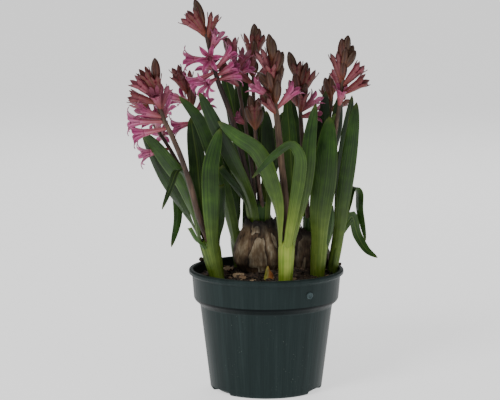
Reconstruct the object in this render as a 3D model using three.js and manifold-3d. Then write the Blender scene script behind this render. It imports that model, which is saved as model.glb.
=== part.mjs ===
// A potted hyacinth: a plastic pot of soil, two bulbs that stand out of it, strap leaves in shoots
// and loose flower spikes. Millimetres, +Z up, the origin under the middle of the pot's base, and
// the front of the plant towards -Y.

import * as THREE from 'three';
import { mergeVertices } from 'three/addons/utils/BufferGeometryUtils.js';
import Module from 'manifold-3d';

const wasm = await Module();
wasm.setup();

// Driving dimensions of the pot
const rimRadius = 60;
const potHeight = 94;
const footRadius = 43.4;
const wall = 1.2;
const lipHeight = 4;
const bandHeight = 22.5;
const shoulderHeight = 5.5;
const bandStep = 2.4;
const bandDraft = 1.5;
const shoulderStep = 4.8;
const notchHeight = 3;
const notchDegrees = [93, 213, 334];
const notchHalfDegrees = 16;
const potSides = 40;
const buttonDegrees = -55.5;
const buttonRadius = 2.5;
const buttonBelowRim = 13;

// Driving dimensions of the plant
const clearance = 0.3;
const soilDepthAtWall = 8;
const soilMound = 5.5;
const shootFloor = 82;
const goldenAngle = 137.5;

const colours = {
  pot: 0x2c3535,
  soil: 0x1d1712,
  bulb: 0x6b5442,
  sprout: 0xa08a34,
  leaf: 0x34561f,
  flower: 0xa8436f,
};

// Small helpers
const radians = THREE.MathUtils.degToRad;
const mix = THREE.MathUtils.lerp;
const smoothstep = THREE.MathUtils.smoothstep;

function around(degrees, radius, z = 0) {
  const angle = radians(degrees);
  return new THREE.Vector3(radius * Math.cos(angle), radius * Math.sin(angle), z);
}

function ringOf(sides, radius, height, offset = 0) {
  return Array.from({ length: sides }, (unused, side) => {
    return around(360 * (side + offset) / sides, radius, height);
  });
}

// A repeatable number from 0 to 1 for a place in a series
function scatter(series, place) {
  const value = Math.sin(series * 78.233 + place * 12.9898) * 43758.5453;
  return value - Math.floor(value);
}

function merged(geometry) {
  const bare = geometry.clone();
  bare.deleteAttribute('normal');
  bare.deleteAttribute('uv');
  return mergeVertices(bare, 1e-4);
}

function toSolid(geometry) {
  const bare = merged(geometry);
  return new wasm.Manifold(new wasm.Mesh({
    numProp: 3,
    vertProperties: new Float32Array(bare.attributes.position.array),
    triVerts: new Uint32Array(bare.index.array),
  }));
}

function toGeometry(solid) {
  const mesh = solid.getMesh();
  const geometry = new THREE.BufferGeometry();
  geometry.setAttribute('position', new THREE.BufferAttribute(mesh.vertProperties, 3));
  geometry.setIndex(new THREE.BufferAttribute(mesh.triVerts, 1));
  return geometry;
}

function join(geometries) {
  return toGeometry(geometries.map(toSolid).reduce((whole, piece) => whole.add(piece)));
}

function cut(geometry, tools) {
  return toGeometry(tools.map(toSolid).reduce((whole, tool) => whole.subtract(tool), toSolid(geometry)));
}

function fromPoints(points, triangles) {
  const geometry = new THREE.BufferGeometry();
  const numbers = points.flatMap((point) => point.toArray());
  geometry.setAttribute('position', new THREE.Float32BufferAttribute(numbers, 3));
  geometry.setIndex(triangles.flat());
  return geometry;
}

// A profile of radii and heights turned about the Z axis. It starts and ends on the axis.
function turned(profile, sides) {
  const points = profile.map(([radius, height]) => new THREE.Vector2(radius, height));
  return new THREE.LatheGeometry(points, sides).rotateX(Math.PI / 2);
}

// Rings of equal count joined one to the next, from a single point to a single point
function lofted(rings) {
  const points = rings.flat();
  const triangles = [];
  let low = 0;
  for (let ring = 0; ring < rings.length - 1; ring += 1) {
    const from = rings[ring].length;
    const to = rings[ring + 1].length;
    const high = low + from;
    for (let side = 0; side < Math.max(from, to); side += 1) {
      const next = (side + 1) % Math.max(from, to);
      if (from > 1) {
        triangles.push([low + side, low + next, to > 1 ? high + next : high]);
      }
      if (to > 1) {
        triangles.push([from > 1 ? low + side : low, high + next, high + side]);
      }
    }
    low = high;
  }
  return fromPoints(points, triangles);
}

// A smooth line through hand-set points, cut level at its foot, with a frame carried along it
// without spin
function framedPath(points, outward, steps) {
  const curve = new THREE.CatmullRomCurve3(points);
  const fine = 8;
  const frames = [];
  let tangent = new THREE.Vector3(0, 0, 1);
  let normal = outward.clone();
  for (let step = 0; step <= steps * fine; step += 1) {
    const along = step / (steps * fine);
    const next = step === 0 ? tangent : curve.getTangentAt(along);
    normal.applyQuaternion(new THREE.Quaternion().setFromUnitVectors(tangent, next));
    tangent = next;
    if (step % fine === 0) {
      frames.push({ along, at: curve.getPointAt(along), tangent, normal: normal.clone() });
    }
  }
  return frames;
}

// Pot: one turned shell, drainage notches at the foot and a small round button on the band
const bandTop = potHeight - lipHeight;
const bandFoot = potHeight - bandHeight;
const shoulderFoot = bandFoot - shoulderHeight;
const bandTopRadius = rimRadius - bandStep;
const bandFootRadius = bandTopRadius - bandDraft;
const bodyTopRadius = bandFootRadius - shoulderStep;

function potProfile() {
  const outer = [
    [0, 0],
    [footRadius - 1.2, 0],
    [footRadius, 1.4],
    [bodyTopRadius, shoulderFoot],
    [bodyTopRadius + 0.9, shoulderFoot + 1.2],
    [bandFootRadius - 0.9, bandFoot - 1.6],
    [bandFootRadius, bandFoot],
    [bandTopRadius, bandTop - 0.6],
    [rimRadius, bandTop + 0.6],
    [rimRadius, potHeight - 1],
    [rimRadius - 0.8, potHeight],
  ];
  const inner = [
    [bandTopRadius - wall + 0.6, potHeight],
    [bandTopRadius - wall, potHeight - 1.5],
    [bandFootRadius - wall, bandFoot + 1],
    [bodyTopRadius - wall, shoulderFoot + 1],
    [footRadius - wall, 3.2],
    [footRadius - wall - 1.4, 1.6],
    [0, 1.6],
  ];
  return outer.concat(inner);
}

function notchTool(degrees) {
  const start = radians(degrees - notchHalfDegrees);
  const end = radians(degrees + notchHalfDegrees);
  const sector = new THREE.Shape();
  sector.absarc(0, 0, footRadius + 4, start, end, false);
  sector.absarc(0, 0, footRadius - 6, end, start, true);
  const options = { depth: 2 * notchHeight, bevelEnabled: false, curveSegments: 5 };
  return new THREE.ExtrudeGeometry(sector, options).translate(0, 0, -notchHeight);
}

function button() {
  const place = around(buttonDegrees, bandTopRadius - 1.4, potHeight - buttonBelowRim);
  const disc = new THREE.CylinderGeometry(buttonRadius, buttonRadius + 0.3, 2.6, 12);
  disc.rotateZ(-Math.PI / 2).rotateZ(radians(buttonDegrees));
  return disc.translate(place.x, place.y, place.z);
}

function potGeometry() {
  const body = join([turned(potProfile(), potSides), button()]);
  return cut(body, notchDegrees.map(notchTool));
}

// Bulbs: each stands in the soil and holds its leaves in the open neck
const bulbs = {
  centre: { at: [-4.5, 15], foot: 85.5, height: 44, radius: 21, neck: 12.4, seed: 1 },
  right: { at: [34, 22], foot: 84, height: 36, radius: 16.5, neck: 9.6, seed: 2 },
};
const neckDepth = 6;
const bulbSides = 20;

function bulbProfile({ foot, height, radius, neck }) {
  return [
    [0, foot],
    [radius * 0.42, foot],
    [radius * 0.78, foot + height * 0.1],
    [radius * 0.97, foot + height * 0.25],
    [radius, foot + height * 0.38],
    [radius * 0.95, foot + height * 0.55],
    [radius * 0.82, foot + height * 0.72],
    [neck * 1.06, foot + height * 0.88],
    [neck, foot + height],
    [neck - 1.2, foot + height],
    [neck - 1.8, foot + height - neckDepth],
    [0, foot + height - neckDepth],
  ];
}

// The papery skin makes shallow folds round the bulb and a torn edge at the neck
function bulbGeometry(bulb, extra = 0) {
  const geometry = merged(turned(bulbProfile(bulb), bulbSides));
  const place = geometry.attributes.position;
  const top = bulb.foot + bulb.height;
  for (let index = 0; index < place.count; index += 1) {
    const x = place.getX(index);
    const y = place.getY(index);
    const z = place.getZ(index);
    const angle = Math.atan2(y, x);
    const outside = Math.hypot(x, y) > bulb.neck - 0.1 && z > bulb.foot + 1;
    const fold = outside ? 0.018 * Math.sin(5 * angle + bulb.seed) + 0.012 * Math.sin(9 * angle) : 0;
    const torn = z > top - 0.1 ? 0.9 * Math.sin(7 * angle + bulb.seed) + 0.6 * Math.sin(12 * angle) : 0;
    const grow = 1 + fold + extra / Math.max(Math.hypot(x, y), 4);
    place.setXYZ(index, x * grow, y * grow, z + torn + (z < bulb.foot + 1 ? -extra : 0));
  }
  return geometry.translate(bulb.at[0], bulb.at[1], 0);
}

// Shoots: where leaves and flower stems rise together, from a bulb's neck or a hole in the soil.
// The leaves stand in a ring on the floor of the hole and pass through a wider ring at the collar.
const neckFloor = (bulb) => bulb.foot + bulb.height - neckDepth;
const shoots = {
  left: { at: [-38, -15], floor: shootFloor, ring: 6.2, collar: [-44.5, -13, 113], spread: 8 },
  back: { at: [-15, 38], floor: shootFloor, ring: 5, collar: [-16, 37, 112], spread: 7 },
  front: { at: [14, -40], floor: shootFloor, ring: 4.6, collar: [15, -38, 116], spread: 5.8 },
  wide: { at: [40, -7], floor: shootFloor, ring: 5.4, collar: [42, -6, 112], spread: 6.8 },
  edge: { at: [49.5, 5], floor: shootFloor, ring: 3.4, collar: [55, 7, 112], spread: 4.8 },
  centre: { at: bulbs.centre.at, floor: neckFloor(bulbs.centre), ring: 8.4,
    collar: [-6, 13.5, 141], spread: 10 },
  right: { at: bulbs.right.at, floor: neckFloor(bulbs.right), ring: 6.2,
    collar: [36, 21, 130], spread: 8 },
};

// Sprout: the tip of a young shoot in a papery scale, just through the soil in front of the bulbs
const sprout = { at: [1.5, -19], radius: 4, height: 16 };

function sproutGeometry() {
  const { at: [x, y], radius, height } = sprout;
  const sides = 8;
  const foot = [new THREE.Vector3(0, 0, 0)];
  const tip = [new THREE.Vector3(-0.4, 0, height)];
  const geometry = lofted([foot, ringOf(sides, radius * 0.85, 0), ringOf(sides, radius, height * 0.4),
    ringOf(sides, radius * 0.85, height * 0.65), ringOf(sides, radius * 0.45, height * 0.88), tip]);
  return geometry.translate(x, y, shootFloor + clearance);
}

// Soil: filled to below the rim, mounded towards the middle, lumpy, with a hole for each shoot and
// a bed for each bulb
const soilSides = 26;
const holeMargin = 3;
const holeDraft = 0.8;
const holeHeight = 30;

function holeTool([x, y], radius) {
  const tool = new THREE.CylinderGeometry(radius, radius - holeDraft, holeHeight, 12);
  return tool.rotateX(Math.PI / 2).translate(x, y, shootFloor + holeHeight / 2);
}

function soilHeight(x, y) {
  const wallLevel = potHeight - soilDepthAtWall;
  const mound = soilMound * Math.exp(-((x - 18) ** 2 + (y - 4) ** 2) / (2 * 27 ** 2));
  const lumps = Math.sin(0.41 * x + 0.9) * Math.cos(0.37 * y) + 0.6 * Math.sin(0.83 * x - 0.71 * y);
  return wallLevel + mound + 0.55 * lumps;
}

function soilGeometry() {
  const top = potHeight - soilDepthAtWall;
  const floorZ = 1.6 + clearance;
  const gap = wall + clearance;
  const rings = [54, 45, 35, 25, 12];
  const profile = [
    [0, floorZ],
    [footRadius - gap - 1.6, floorZ],
    [footRadius - gap, 3.8],
    [bodyTopRadius - gap, shoulderFoot + 1.2],
    [bandFootRadius - gap, bandFoot + 1.4],
    [bandFootRadius - gap + 0.6, top - 1.5],
    ...rings.map((radius) => [radius, top]),
    [0, top],
  ];
  const body = merged(turned(profile, soilSides));
  const place = body.attributes.position;
  for (let index = 0; index < place.count; index += 1) {
    if (place.getZ(index) > top - 0.1) {
      place.setZ(index, soilHeight(place.getX(index), place.getY(index)));
    }
  }
  const rooted = Object.values(shoots).filter((shoot) => shoot.floor === shootFloor);
  const holes = rooted.map((shoot) => holeTool(shoot.at, shoot.ring + holeMargin));
  const beds = Object.values(bulbs).map((bulb) => bulbGeometry(bulb, clearance));
  return cut(body, [...holes, holeTool(sprout.at, sprout.radius + holeDraft), ...beds]);
}

// Leaves: strap blades with a shallow channel, hollow side towards the middle of their shoot.
// Each has its azimuth in the shoot, its half width at the foot and at its widest, a twist on the
// way up, and the points it passes above the collar.
const leaves = [
  { name: 'leaf_left_1', shoot: 'left', azimuth: 290, foot: 4.4, half: 7, twist: -14,
    points: [[-42, -25, 147], [-42, -25, 177], [-35, -20, 205]] },
  { name: 'leaf_left_2', shoot: 'left', azimuth: 173, foot: 1.2, half: 7, twist: 75,
    points: [[-62, -5, 155], [-77, -4.5, 178], [-95, -7.5, 201]] },
  { name: 'leaf_left_3', shoot: 'left', azimuth: 147, foot: 1.2, half: 6, twist: 90,
    points: [[-66, 9, 141], [-81, 13, 166], [-96, 16, 195]] },
  { name: 'leaf_left_4', shoot: 'left', azimuth: 198, foot: 1.1, half: 4.2, twist: 30,
    points: [[-56, -13, 150], [-62, -14, 168], [-67, -19, 172], [-72, -27, 161], [-79, -30, 144]] },
  { name: 'leaf_left_5', shoot: 'left', azimuth: 121, foot: 1.2, half: 4, twist: 50,
    points: [[-62, 13, 149], [-66, 17, 157], [-69, 20, 149], [-69, 17, 129], [-74, 13, 108]] },
  { name: 'leaf_left_6', shoot: 'left', azimuth: 95, foot: 1.3, half: 7.4, twist: -5,
    points: [[-51, 10, 147], [-54, 18, 177], [-59, 20, 209]] },
  { name: 'leaf_left_7', shoot: 'left', azimuth: 231, foot: 1, half: 2.5, twist: 0, cutTip: true,
    points: [[-53, -24, 119], [-59, -26, 129]] },
  { name: 'leaf_left_8', shoot: 'left', azimuth: 30, foot: 2.4, half: 4, twist: -70, cutTip: true,
    points: [[-34, -6, 136], [-34, -8, 160]] },
  { name: 'leaf_back_1', shoot: 'back', azimuth: 235, foot: 2.2, half: 6.2, twist: 30,
    points: [[-28, 22, 146], [-40, 13, 176], [-52, 5, 208], [-67, 2, 227]] },
  { name: 'leaf_back_2', shoot: 'back', azimuth: 170, foot: 2, half: 5.6, twist: 90,
    points: [[-25, 39, 133], [-32, 38, 159], [-38, 37, 187]] },
  { name: 'leaf_back_3', shoot: 'back', azimuth: 112, foot: 2, half: 6.6, twist: -20,
    points: [[-26, 62, 146], [-37, 72, 186], [-49, 76, 209]] },
  { name: 'leaf_back_4', shoot: 'back', azimuth: 55, foot: 2, half: 6.6, twist: 30,
    points: [[-12, 58, 147], [-6, 66, 186], [-2, 68, 214]] },
  { name: 'leaf_centre_1', shoot: 'centre', azimuth: 208, foot: 1.5, half: 3, twist: 50, cutTip: true,
    points: [[-23, 3, 156], [-36, 3, 172]] },
  { name: 'leaf_centre_2', shoot: 'centre', azimuth: 236, foot: 2.2, half: 6.2, twist: 30,
    points: [[-19, -6, 163], [-30, -13, 187], [-42, -20, 213], [-51, -21, 232]] },
  { name: 'leaf_centre_3', shoot: 'centre', azimuth: 180, foot: 2.2, half: 5.8, twist: 80,
    points: [[-14, 17, 165], [-20, 19, 186], [-27, 21, 211]] },
  { name: 'leaf_centre_4', shoot: 'centre', azimuth: 140, foot: 2, half: 6.6, twist: -50,
    points: [[-14, 32, 184], [-19, 43, 223], [-17, 49, 256]] },
  { name: 'leaf_centre_5', shoot: 'centre', azimuth: 5, foot: 2.2, half: 5.8, twist: -80,
    points: [[4, 13, 160], [2, 13, 184], [0, 12, 215]] },
  { name: 'leaf_centre_6', shoot: 'centre', azimuth: 112, foot: 1.9, half: 6, twist: -20,
    points: [[-20, 43, 182], [-28, 54, 221], [-35, 60, 246]] },
  { name: 'leaf_centre_7', shoot: 'centre', azimuth: 62, foot: 2.2, half: 6.4, twist: 25,
    points: [[7, 38, 181], [14, 46, 211]] },
  { name: 'leaf_front_1', shoot: 'front', azimuth: 190, foot: 2.3, half: 7.8, twist: 50,
    points: [[8, -42, 144], [2, -41, 168], [-9, -38, 190], [-24, -34, 200], [-37, -30, 211]] },
  { name: 'leaf_front_2', shoot: 'front', azimuth: 275, foot: 3.3, half: 5.4, twist: -20,
    points: [[20, -46, 146], [24, -49, 173], [24, -52, 187], [18, -56, 195], [9, -59, 191],
      [-7, -61, 177]] },
  { name: 'leaf_front_3', shoot: 'front', azimuth: 355, foot: 1.9, half: 6, twist: -80,
    points: [[27, -33, 148], [31, -31, 178], [33, -29, 201], [37, -26, 224]] },
  { name: 'leaf_front_4', shoot: 'front', azimuth: 75, foot: 1.8, half: 6.2, twist: 20,
    points: [[19, -26, 151], [18, -20, 188], [15, -13, 229]] },
  { name: 'leaf_wide_1', shoot: 'wide', azimuth: 266, foot: 5.4, half: 9, twist: 5,
    points: [[41, -19, 140], [44, -20, 165], [46, -18, 189], [48, -13, 213]] },
  { name: 'leaf_wide_2', shoot: 'wide', azimuth: 90, foot: 3.4, half: 7, twist: 0,
    points: [[42, 3, 154], [45, 3, 185], [53, 1, 214]] },
  { name: 'leaf_wide_3', shoot: 'wide', azimuth: 5, foot: 1.4, half: 2.8, twist: -70,
    points: [[50, -9, 130], [51, -9, 144]] },
  { name: 'leaf_right_1', shoot: 'right', azimuth: 300, foot: 1.9, half: 6, twist: -20,
    points: [[41, 14, 165], [44, 14, 200], [46, 15, 230]] },
  { name: 'leaf_right_2', shoot: 'right', azimuth: 350, foot: 1.9, half: 5.8, twist: -60,
    points: [[47, 21, 167], [54, 18, 199], [57, 11, 228]] },
  { name: 'leaf_right_3', shoot: 'right', azimuth: 82, foot: 1.9, half: 6.6, twist: 0,
    points: [[39, 42, 157], [42, 54, 188], [45, 60, 209]] },
  { name: 'leaf_right_4', shoot: 'right', azimuth: 128, foot: 1.9, half: 6.6, twist: -30,
    points: [[26, 36, 166], [21, 44, 201], [20, 47, 222]] },
  { name: 'leaf_right_5', shoot: 'right', azimuth: 38, foot: 1.9, half: 5.6, twist: 30,
    points: [[52, 36, 158], [64, 46, 181], [73, 52, 188]] },
  { name: 'leaf_edge_1', shoot: 'edge', azimuth: 282, foot: 1.8, half: 5.2, twist: 0,
    points: [[59, -3, 144], [62, -5, 167], [66, -5, 198], [69, -3, 223]] },
  { name: 'leaf_edge_2', shoot: 'edge', azimuth: 146, foot: 1.1, half: 5.4, twist: -30,
    points: [[56, 12, 149], [60, 13, 184], [66, 11, 227]] },
  { name: 'leaf_edge_3', shoot: 'edge', azimuth: 36, foot: 1.1, half: 4.6, twist: 10,
    points: [[64, 14, 141], [68, 17, 154], [72, 21, 150], [73, 22, 134], [78, 20, 112]] },
  { name: 'leaf_edge_4', shoot: 'edge', azimuth: 90, foot: 1.1, half: 4.8, twist: 55,
    points: [[63, 22, 126], [67, 27, 130], [72, 30, 114], [79, 29, 103], [88, 27, 97]] },
];

const leafThicknessAtFoot = 1.8;
const leafThicknessAtTip = 1;
const cupAtFoot = 0.9;
const cupAtTip = 0.42;
const broadLeaf = 6.3;
const bladeSteps = 10;
const broadSides = 4;
const narrowSides = 2;

// The half width swells from the foot to the widest place and rounds off to the tip
function halfWidth(leaf, along) {
  const swell = mix(leaf.foot, leaf.half, smoothstep(along, 0.2, 0.6));
  if (leaf.cutTip) {
    return swell;
  }
  const taper = Math.max(0, (along - 0.5) / 0.5);
  return Math.max(0.5, swell * (1 - taper ** 2.4) ** 0.75);
}

function leafPath(leaf) {
  const { at: [x, y], floor, ring, collar, spread } = shoots[leaf.shoot];
  const foot = around(leaf.azimuth, ring, floor + clearance).add(new THREE.Vector3(x, y, 0));
  const neck = around(leaf.azimuth, spread).add(new THREE.Vector3(...collar));
  const points = [foot, neck, ...leaf.points.map((point) => new THREE.Vector3(...point))];
  return framedPath(points, around(leaf.azimuth, 1), bladeSteps);
}

// Across the blade the back follows an arc of half angle `cup`, and the hollow face lies one
// thickness inside it. Both faces are split along the same diagonals.
function leafGeometry(leaf) {
  const bladeSides = leaf.half > broadLeaf ? broadSides : narrowSides;
  const rows = leafPath(leaf).map(({ along, at, tangent, normal }) => {
    const turnAngle = radians(leaf.twist) * smoothstep(along, 0.1, 0.7);
    const outward = normal.clone().applyAxisAngle(tangent, turnAngle);
    const across = new THREE.Vector3().crossVectors(tangent, outward);
    const cup = mix(cupAtFoot, cupAtTip, smoothstep(along, 0, 0.5));
    const half = halfWidth(leaf, along);
    const bend = half / cup;
    const thick = mix(leafThicknessAtFoot, leafThicknessAtTip, along);
    const back = [];
    const face = [];
    for (let side = 0; side <= bladeSides; side += 1) {
      const place = (2 * side) / bladeSides - 1;
      const angle = place * cup;
      const depth = Math.max(0.65, thick * (1 - 0.5 * place ** 2));
      const backPoint = at.clone()
        .addScaledVector(across, bend * Math.sin(angle))
        .addScaledVector(outward, bend * (Math.cos(angle) - 1));
      back.push(backPoint);
      face.push(backPoint.clone().addScaledVector(outward, -depth));
    }
    return { back, face };
  });
  const width = bladeSides + 1;
  const points = rows.flatMap(({ back, face }) => back.concat(face));
  const triangles = [];
  const corner = (row, side, sheet) => row * 2 * width + sheet * width + side;
  const quad = (a, b, c, d) => triangles.push([a, b, c], [a, c, d]);
  for (let row = 0; row < rows.length - 1; row += 1) {
    for (let side = 0; side < bladeSides; side += 1) {
      const ring = [0, 1].map((sheet) => [
        corner(row, side, sheet), corner(row, side + 1, sheet),
        corner(row + 1, side + 1, sheet), corner(row + 1, side, sheet)]);
      quad(...ring[0]);
      const [a, b, c, d] = ring[1];
      triangles.push([a, c, b], [a, d, c]);
    }
    quad(corner(row, 0, 1), corner(row, 0, 0), corner(row + 1, 0, 0), corner(row + 1, 0, 1));
    quad(corner(row, bladeSides, 0), corner(row, bladeSides, 1),
      corner(row + 1, bladeSides, 1), corner(row + 1, bladeSides, 0));
  }
  for (let side = 0; side < bladeSides; side += 1) {
    const end = rows.length - 1;
    quad(corner(0, side, 1), corner(0, side + 1, 1), corner(0, side + 1, 0), corner(0, side, 0));
    quad(corner(end, side, 0), corner(end, side + 1, 0), corner(end, side + 1, 1), corner(end, side, 1));
  }
  return fromPoints(points, triangles);
}

// Flower spikes: a fleshy stem with florets set round it by the golden angle, the lowest open and
// the highest still in bud
const spikes = [
  { name: 'spike_left_1', shoot: 'left', radius: 2.7, first: 0.78, count: 13,
    phase: 150, open: 0.85, size: 25, lean: 49, rise: 1.8,
    points: [[-38.5, -17.1, 0], [-45, -15.5, 113], [-52, -19, 138], [-58, -22, 162],
      [-65, -26, 184], [-72, -29, 201], [-78, -31, 214], [-82, -32, 227], [-82, -32, 238]] },
  { name: 'spike_left_2', shoot: 'left', radius: 2.1, first: 0.62, count: 7,
    phase: 127, open: 0.7, size: 24, lean: 95, rise: 0.6,
    points: [[-38, -12.9, 0], [-45, -10.5, 113], [-54.5, -1, 144], [-64.5, 3, 168],
      [-75, 5, 187], [-81.5, 6, 197], [-88.5, 8, 208], [-93, 9, 219]] },
  { name: 'spike_back', shoot: 'back', radius: 1.9, first: 0.8, count: 7,
    phase: 155, open: 0.7, size: 22, lean: 94, rise: 0.6,
    points: [[-15, 38, 0], [-17.5, 35, 112], [-29.5, 31, 141], [-38.5, 28.5, 165],
      [-50, 26, 194], [-57.5, 24, 215], [-61.5, 24, 229], [-65, 24, 238]] },
  { name: 'spike_centre_1', shoot: 'centre', radius: 2.7, first: 0.62, count: 13,
    phase: 320, open: 1, size: 27, lean: 64, rise: 1.8,
    points: [[-7.5, 11.5, 0], [-8, 10, 141], [-14, 3, 162], [-21.5, -3, 194], [-30, -5, 221],
      [-37.5, -7, 241], [-42.5, -8, 261], [-47, -8, 280]] },
  { name: 'spike_centre_2', shoot: 'centre', radius: 2, first: 0.7, count: 9,
    phase: 65, open: 0.5, size: 22, lean: 94, rise: 0.85,
    points: [[-8, 16.5, 0], [-8.5, 14, 141], [-11, 12, 169.5], [-17, 13, 209],
      [-22, 14, 236.5], [-24, 14, 252]] },
  { name: 'spike_centre_3', shoot: 'centre', radius: 2.1, first: 0.7, count: 10,
    phase: 35, open: 0.6, size: 27, lean: 64, rise: 0.85,
    points: [[-4, 19, 0], [-5.5, 18.5, 141], [-6.5, 25, 167], [-9, 31, 206], [-10, 35, 234],
      [-9, 36, 261]] },
  { name: 'spike_centre_4', shoot: 'centre', radius: 1.8, first: 0.82, count: 5,
    phase: 140, open: 0.25, size: 22, lean: 69, rise: 0.85,
    points: [[-2.5, 11, 0], [-3, 7, 141], [-6, 0, 163], [-8, -4, 186], [-9, -5, 206]] },
  { name: 'spike_front', shoot: 'front', radius: 3.4, first: 0.76, count: 12,
    phase: 130, open: 0.35, size: 27, lean: 45, rise: 1.8,
    points: [[14, -40, 0], [14.5, -36.5, 116], [14, -33, 151.5], [11, -31, 181], [8, -30, 211],
      [5, -30, 233.5], [5, -30, 254]] },
  { name: 'spike_right_1', shoot: 'right', radius: 2.4, first: 0.62, count: 12,
    phase: 50, open: 0.55, size: 26, lean: 69, rise: 0.6,
    points: [[32.5, 20.2, 0], [32.5, 17, 130], [31, 11, 153], [28.5, 7, 183.5],
      [26.5, 5, 210.5], [25, 5, 229], [23, 5, 240]] },
  { name: 'spike_right_2', shoot: 'right', radius: 1.9, first: 0.81, count: 6,
    phase: 155, open: 0.4, size: 22, lean: 69, rise: 0.85,
    points: [[35.5, 23.5, 0], [38, 24, 130], [42, 28, 150.5], [46, 31, 181], [51, 33, 216.5],
      [52, 33, 229]] },
  { name: 'spike_wide', shoot: 'wide', radius: 2.4, first: 0.8, count: 12,
    phase: 155, open: 0.5, size: 24, lean: 74, rise: 0.85,
    points: [[40, -7, 0], [42, -5.5, 112], [44.5, -5, 136.5], [49, -7, 176.5], [53, -9, 204],
      [56, -10, 223.5], [58, -11, 244.5], [58, -11, 255]] },
];

const stemSteps = 8;
const stemSides = 5;
const lobeCount = 6;
const rootSink = 1;
const leanAtTop = 5;

function stemGeometry(spike, frames) {
  const rings = frames.map(({ along, at, tangent, normal }) => {
    const across = new THREE.Vector3().crossVectors(tangent, normal);
    const radius = spike.radius * mix(0.72, 1, smoothstep(along, 0.1, 0.4)) * mix(1, 0.6, along);
    return Array.from({ length: stemSides }, (unused, side) => {
      const angle = (2 * Math.PI * side) / stemSides;
      return at.clone()
        .addScaledVector(normal, radius * Math.cos(angle))
        .addScaledVector(across, radius * Math.sin(angle));
    });
  });
  return lofted([[frames[0].at], ...rings, [frames[stemSteps].at]]);
}

// Where each floret of a spike is rooted, which way it points, how long and how open it is
function floretPlaces(spike, frames) {
  const places = [];
  const series = spike.phase;
  for (let place = 0; place < spike.count; place += 1) {
    const rank = place / (spike.count - 1);
    const along = mix(spike.first, 1, rank ** 0.75);
    const step = Math.min(stemSteps - 1, Math.floor(along * stemSteps));
    const low = frames[step];
    const at = low.at.clone().lerp(frames[step + 1].at, along * stemSteps - step);
    const turn = spike.phase + place * goldenAngle + 30 * (scatter(series, place) - 0.5);
    const upright = mix(spike.lean, leanAtTop, rank ** spike.rise);
    const lean = radians(upright + 12 * (scatter(series, place + 50) - 0.5));
    const side = around(turn, 1);
    side.addScaledVector(low.tangent, -side.dot(low.tangent)).normalize();
    const axis = low.tangent.clone().multiplyScalar(Math.cos(lean)).addScaledVector(side, Math.sin(lean));
    const length = spike.size * mix(1.1, 0.85, rank) * (0.92 + 0.16 * scatter(series, place + 90));
    const openness = spike.open * (1.15 - 1.15 * rank) - 0.12 * scatter(series, place + 130);
    axis.normalize();
    places.push({ at: at.addScaledVector(axis, -rootSink), axis, length, openness });
  }
  return places;
}

const floretRing = (radius, height, offset = 0) => ringOf(lobeCount, radius, height, offset);

// A closed bud: a pointed six-sided body that narrows to its root
function budGeometry(length) {
  const root = [new THREE.Vector3(0, 0, 0)];
  const tip = [new THREE.Vector3(0, 0, length)];
  return lofted([root, floretRing(3.5, 0.46 * length), floretRing(3.1, 0.72 * length), tip]);
}

// An opening floret: a tube that narrows to its root, and six lobes. The lobes rise and flare with
// the openness, and curl back on a fully open one.
function floretGeometry(length, openness) {
  const flare = smoothstep(openness, 0.25, 1);
  const throat = mix(3.7, 2.9, flare);
  const throatHeight = mix(0.74, 0.58, flare) * length;
  const notches = 0.5;
  const points = [new THREE.Vector3(0, 0, 0), ...floretRing(mix(2.2, 1.6, flare), 0.3 * length, notches),
    ...floretRing(throat, throatHeight, notches), ...floretRing(throat - 0.9, throatHeight, notches),
    new THREE.Vector3(0, 0, throatHeight - 1)];
  const tube = 1;
  const outer = tube + lobeCount;
  const inner = outer + lobeCount;
  const heart = inner + lobeCount;
  const triangles = [];
  const middleRadius = mix(4.4, 6.6, flare);
  const middleHeight = mix(0.88, 0.8, flare) * length;
  const tipRadius = mix(4.6, 11.5, flare);
  const tipHeight = mix(1.04, 0.8, flare) * length;
  const lobeHalf = 1.8;
  for (let side = 0; side < lobeCount; side += 1) {
    const next = (side + 1) % lobeCount;
    const last = (side + lobeCount - 1) % lobeCount;
    triangles.push([0, tube + next, tube + side]);
    triangles.push([tube + side, tube + next, outer + next], [tube + side, outer + next, outer + side]);
    triangles.push([inner + side, heart, inner + last]);
    const degrees = (360 * side) / lobeCount;
    const tip = around(degrees, tipRadius, tipHeight);
    const start = points.length;
    if (flare < 0.35) {
      points.push(tip);
      triangles.push([outer + last, outer + side, start], [inner + side, inner + last, start]);
      triangles.push([outer + side, inner + side, start], [inner + last, outer + last, start]);
      continue;
    }
    const sideways = around(degrees + 90, lobeHalf);
    const middle = around(degrees, middleRadius, middleHeight);
    const inset = around(degrees, -0.55, 0.45);
    points.push(middle.clone().sub(sideways), middle.clone().add(sideways));
    points.push(middle.clone().add(inset), tip);
    const [left, right, rib, end] = [start, start + 1, start + 2, start + 3];
    triangles.push([outer + last, outer + side, right], [outer + last, right, left], [left, right, end]);
    triangles.push([inner + side, inner + last, rib], [rib, left, end], [right, rib, end]);
    triangles.push([outer + side, inner + side, rib], [outer + side, rib, right]);
    triangles.push([inner + last, outer + last, left], [inner + last, left, rib]);
  }
  return fromPoints(points, triangles);
}

function placedFloret({ at, axis, length, openness }) {
  const geometry = openness > 0.25 ? floretGeometry(length, openness) : budGeometry(length);
  geometry.applyQuaternion(new THREE.Quaternion().setFromUnitVectors(new THREE.Vector3(0, 0, 1), axis));
  return geometry.translate(at.x, at.y, at.z);
}

function spikeGeometry(spike) {
  const shoot = shoots[spike.shoot];
  const points = spike.points.map(([x, y, z]) => new THREE.Vector3(x, y, z));
  points[0].z = shoot.floor + clearance;
  const frames = framedPath(points, new THREE.Vector3(0, -1, 0), stemSteps);
  return join([stemGeometry(spike, frames), ...floretPlaces(spike, frames).map(placedFloret)]);
}

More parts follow.
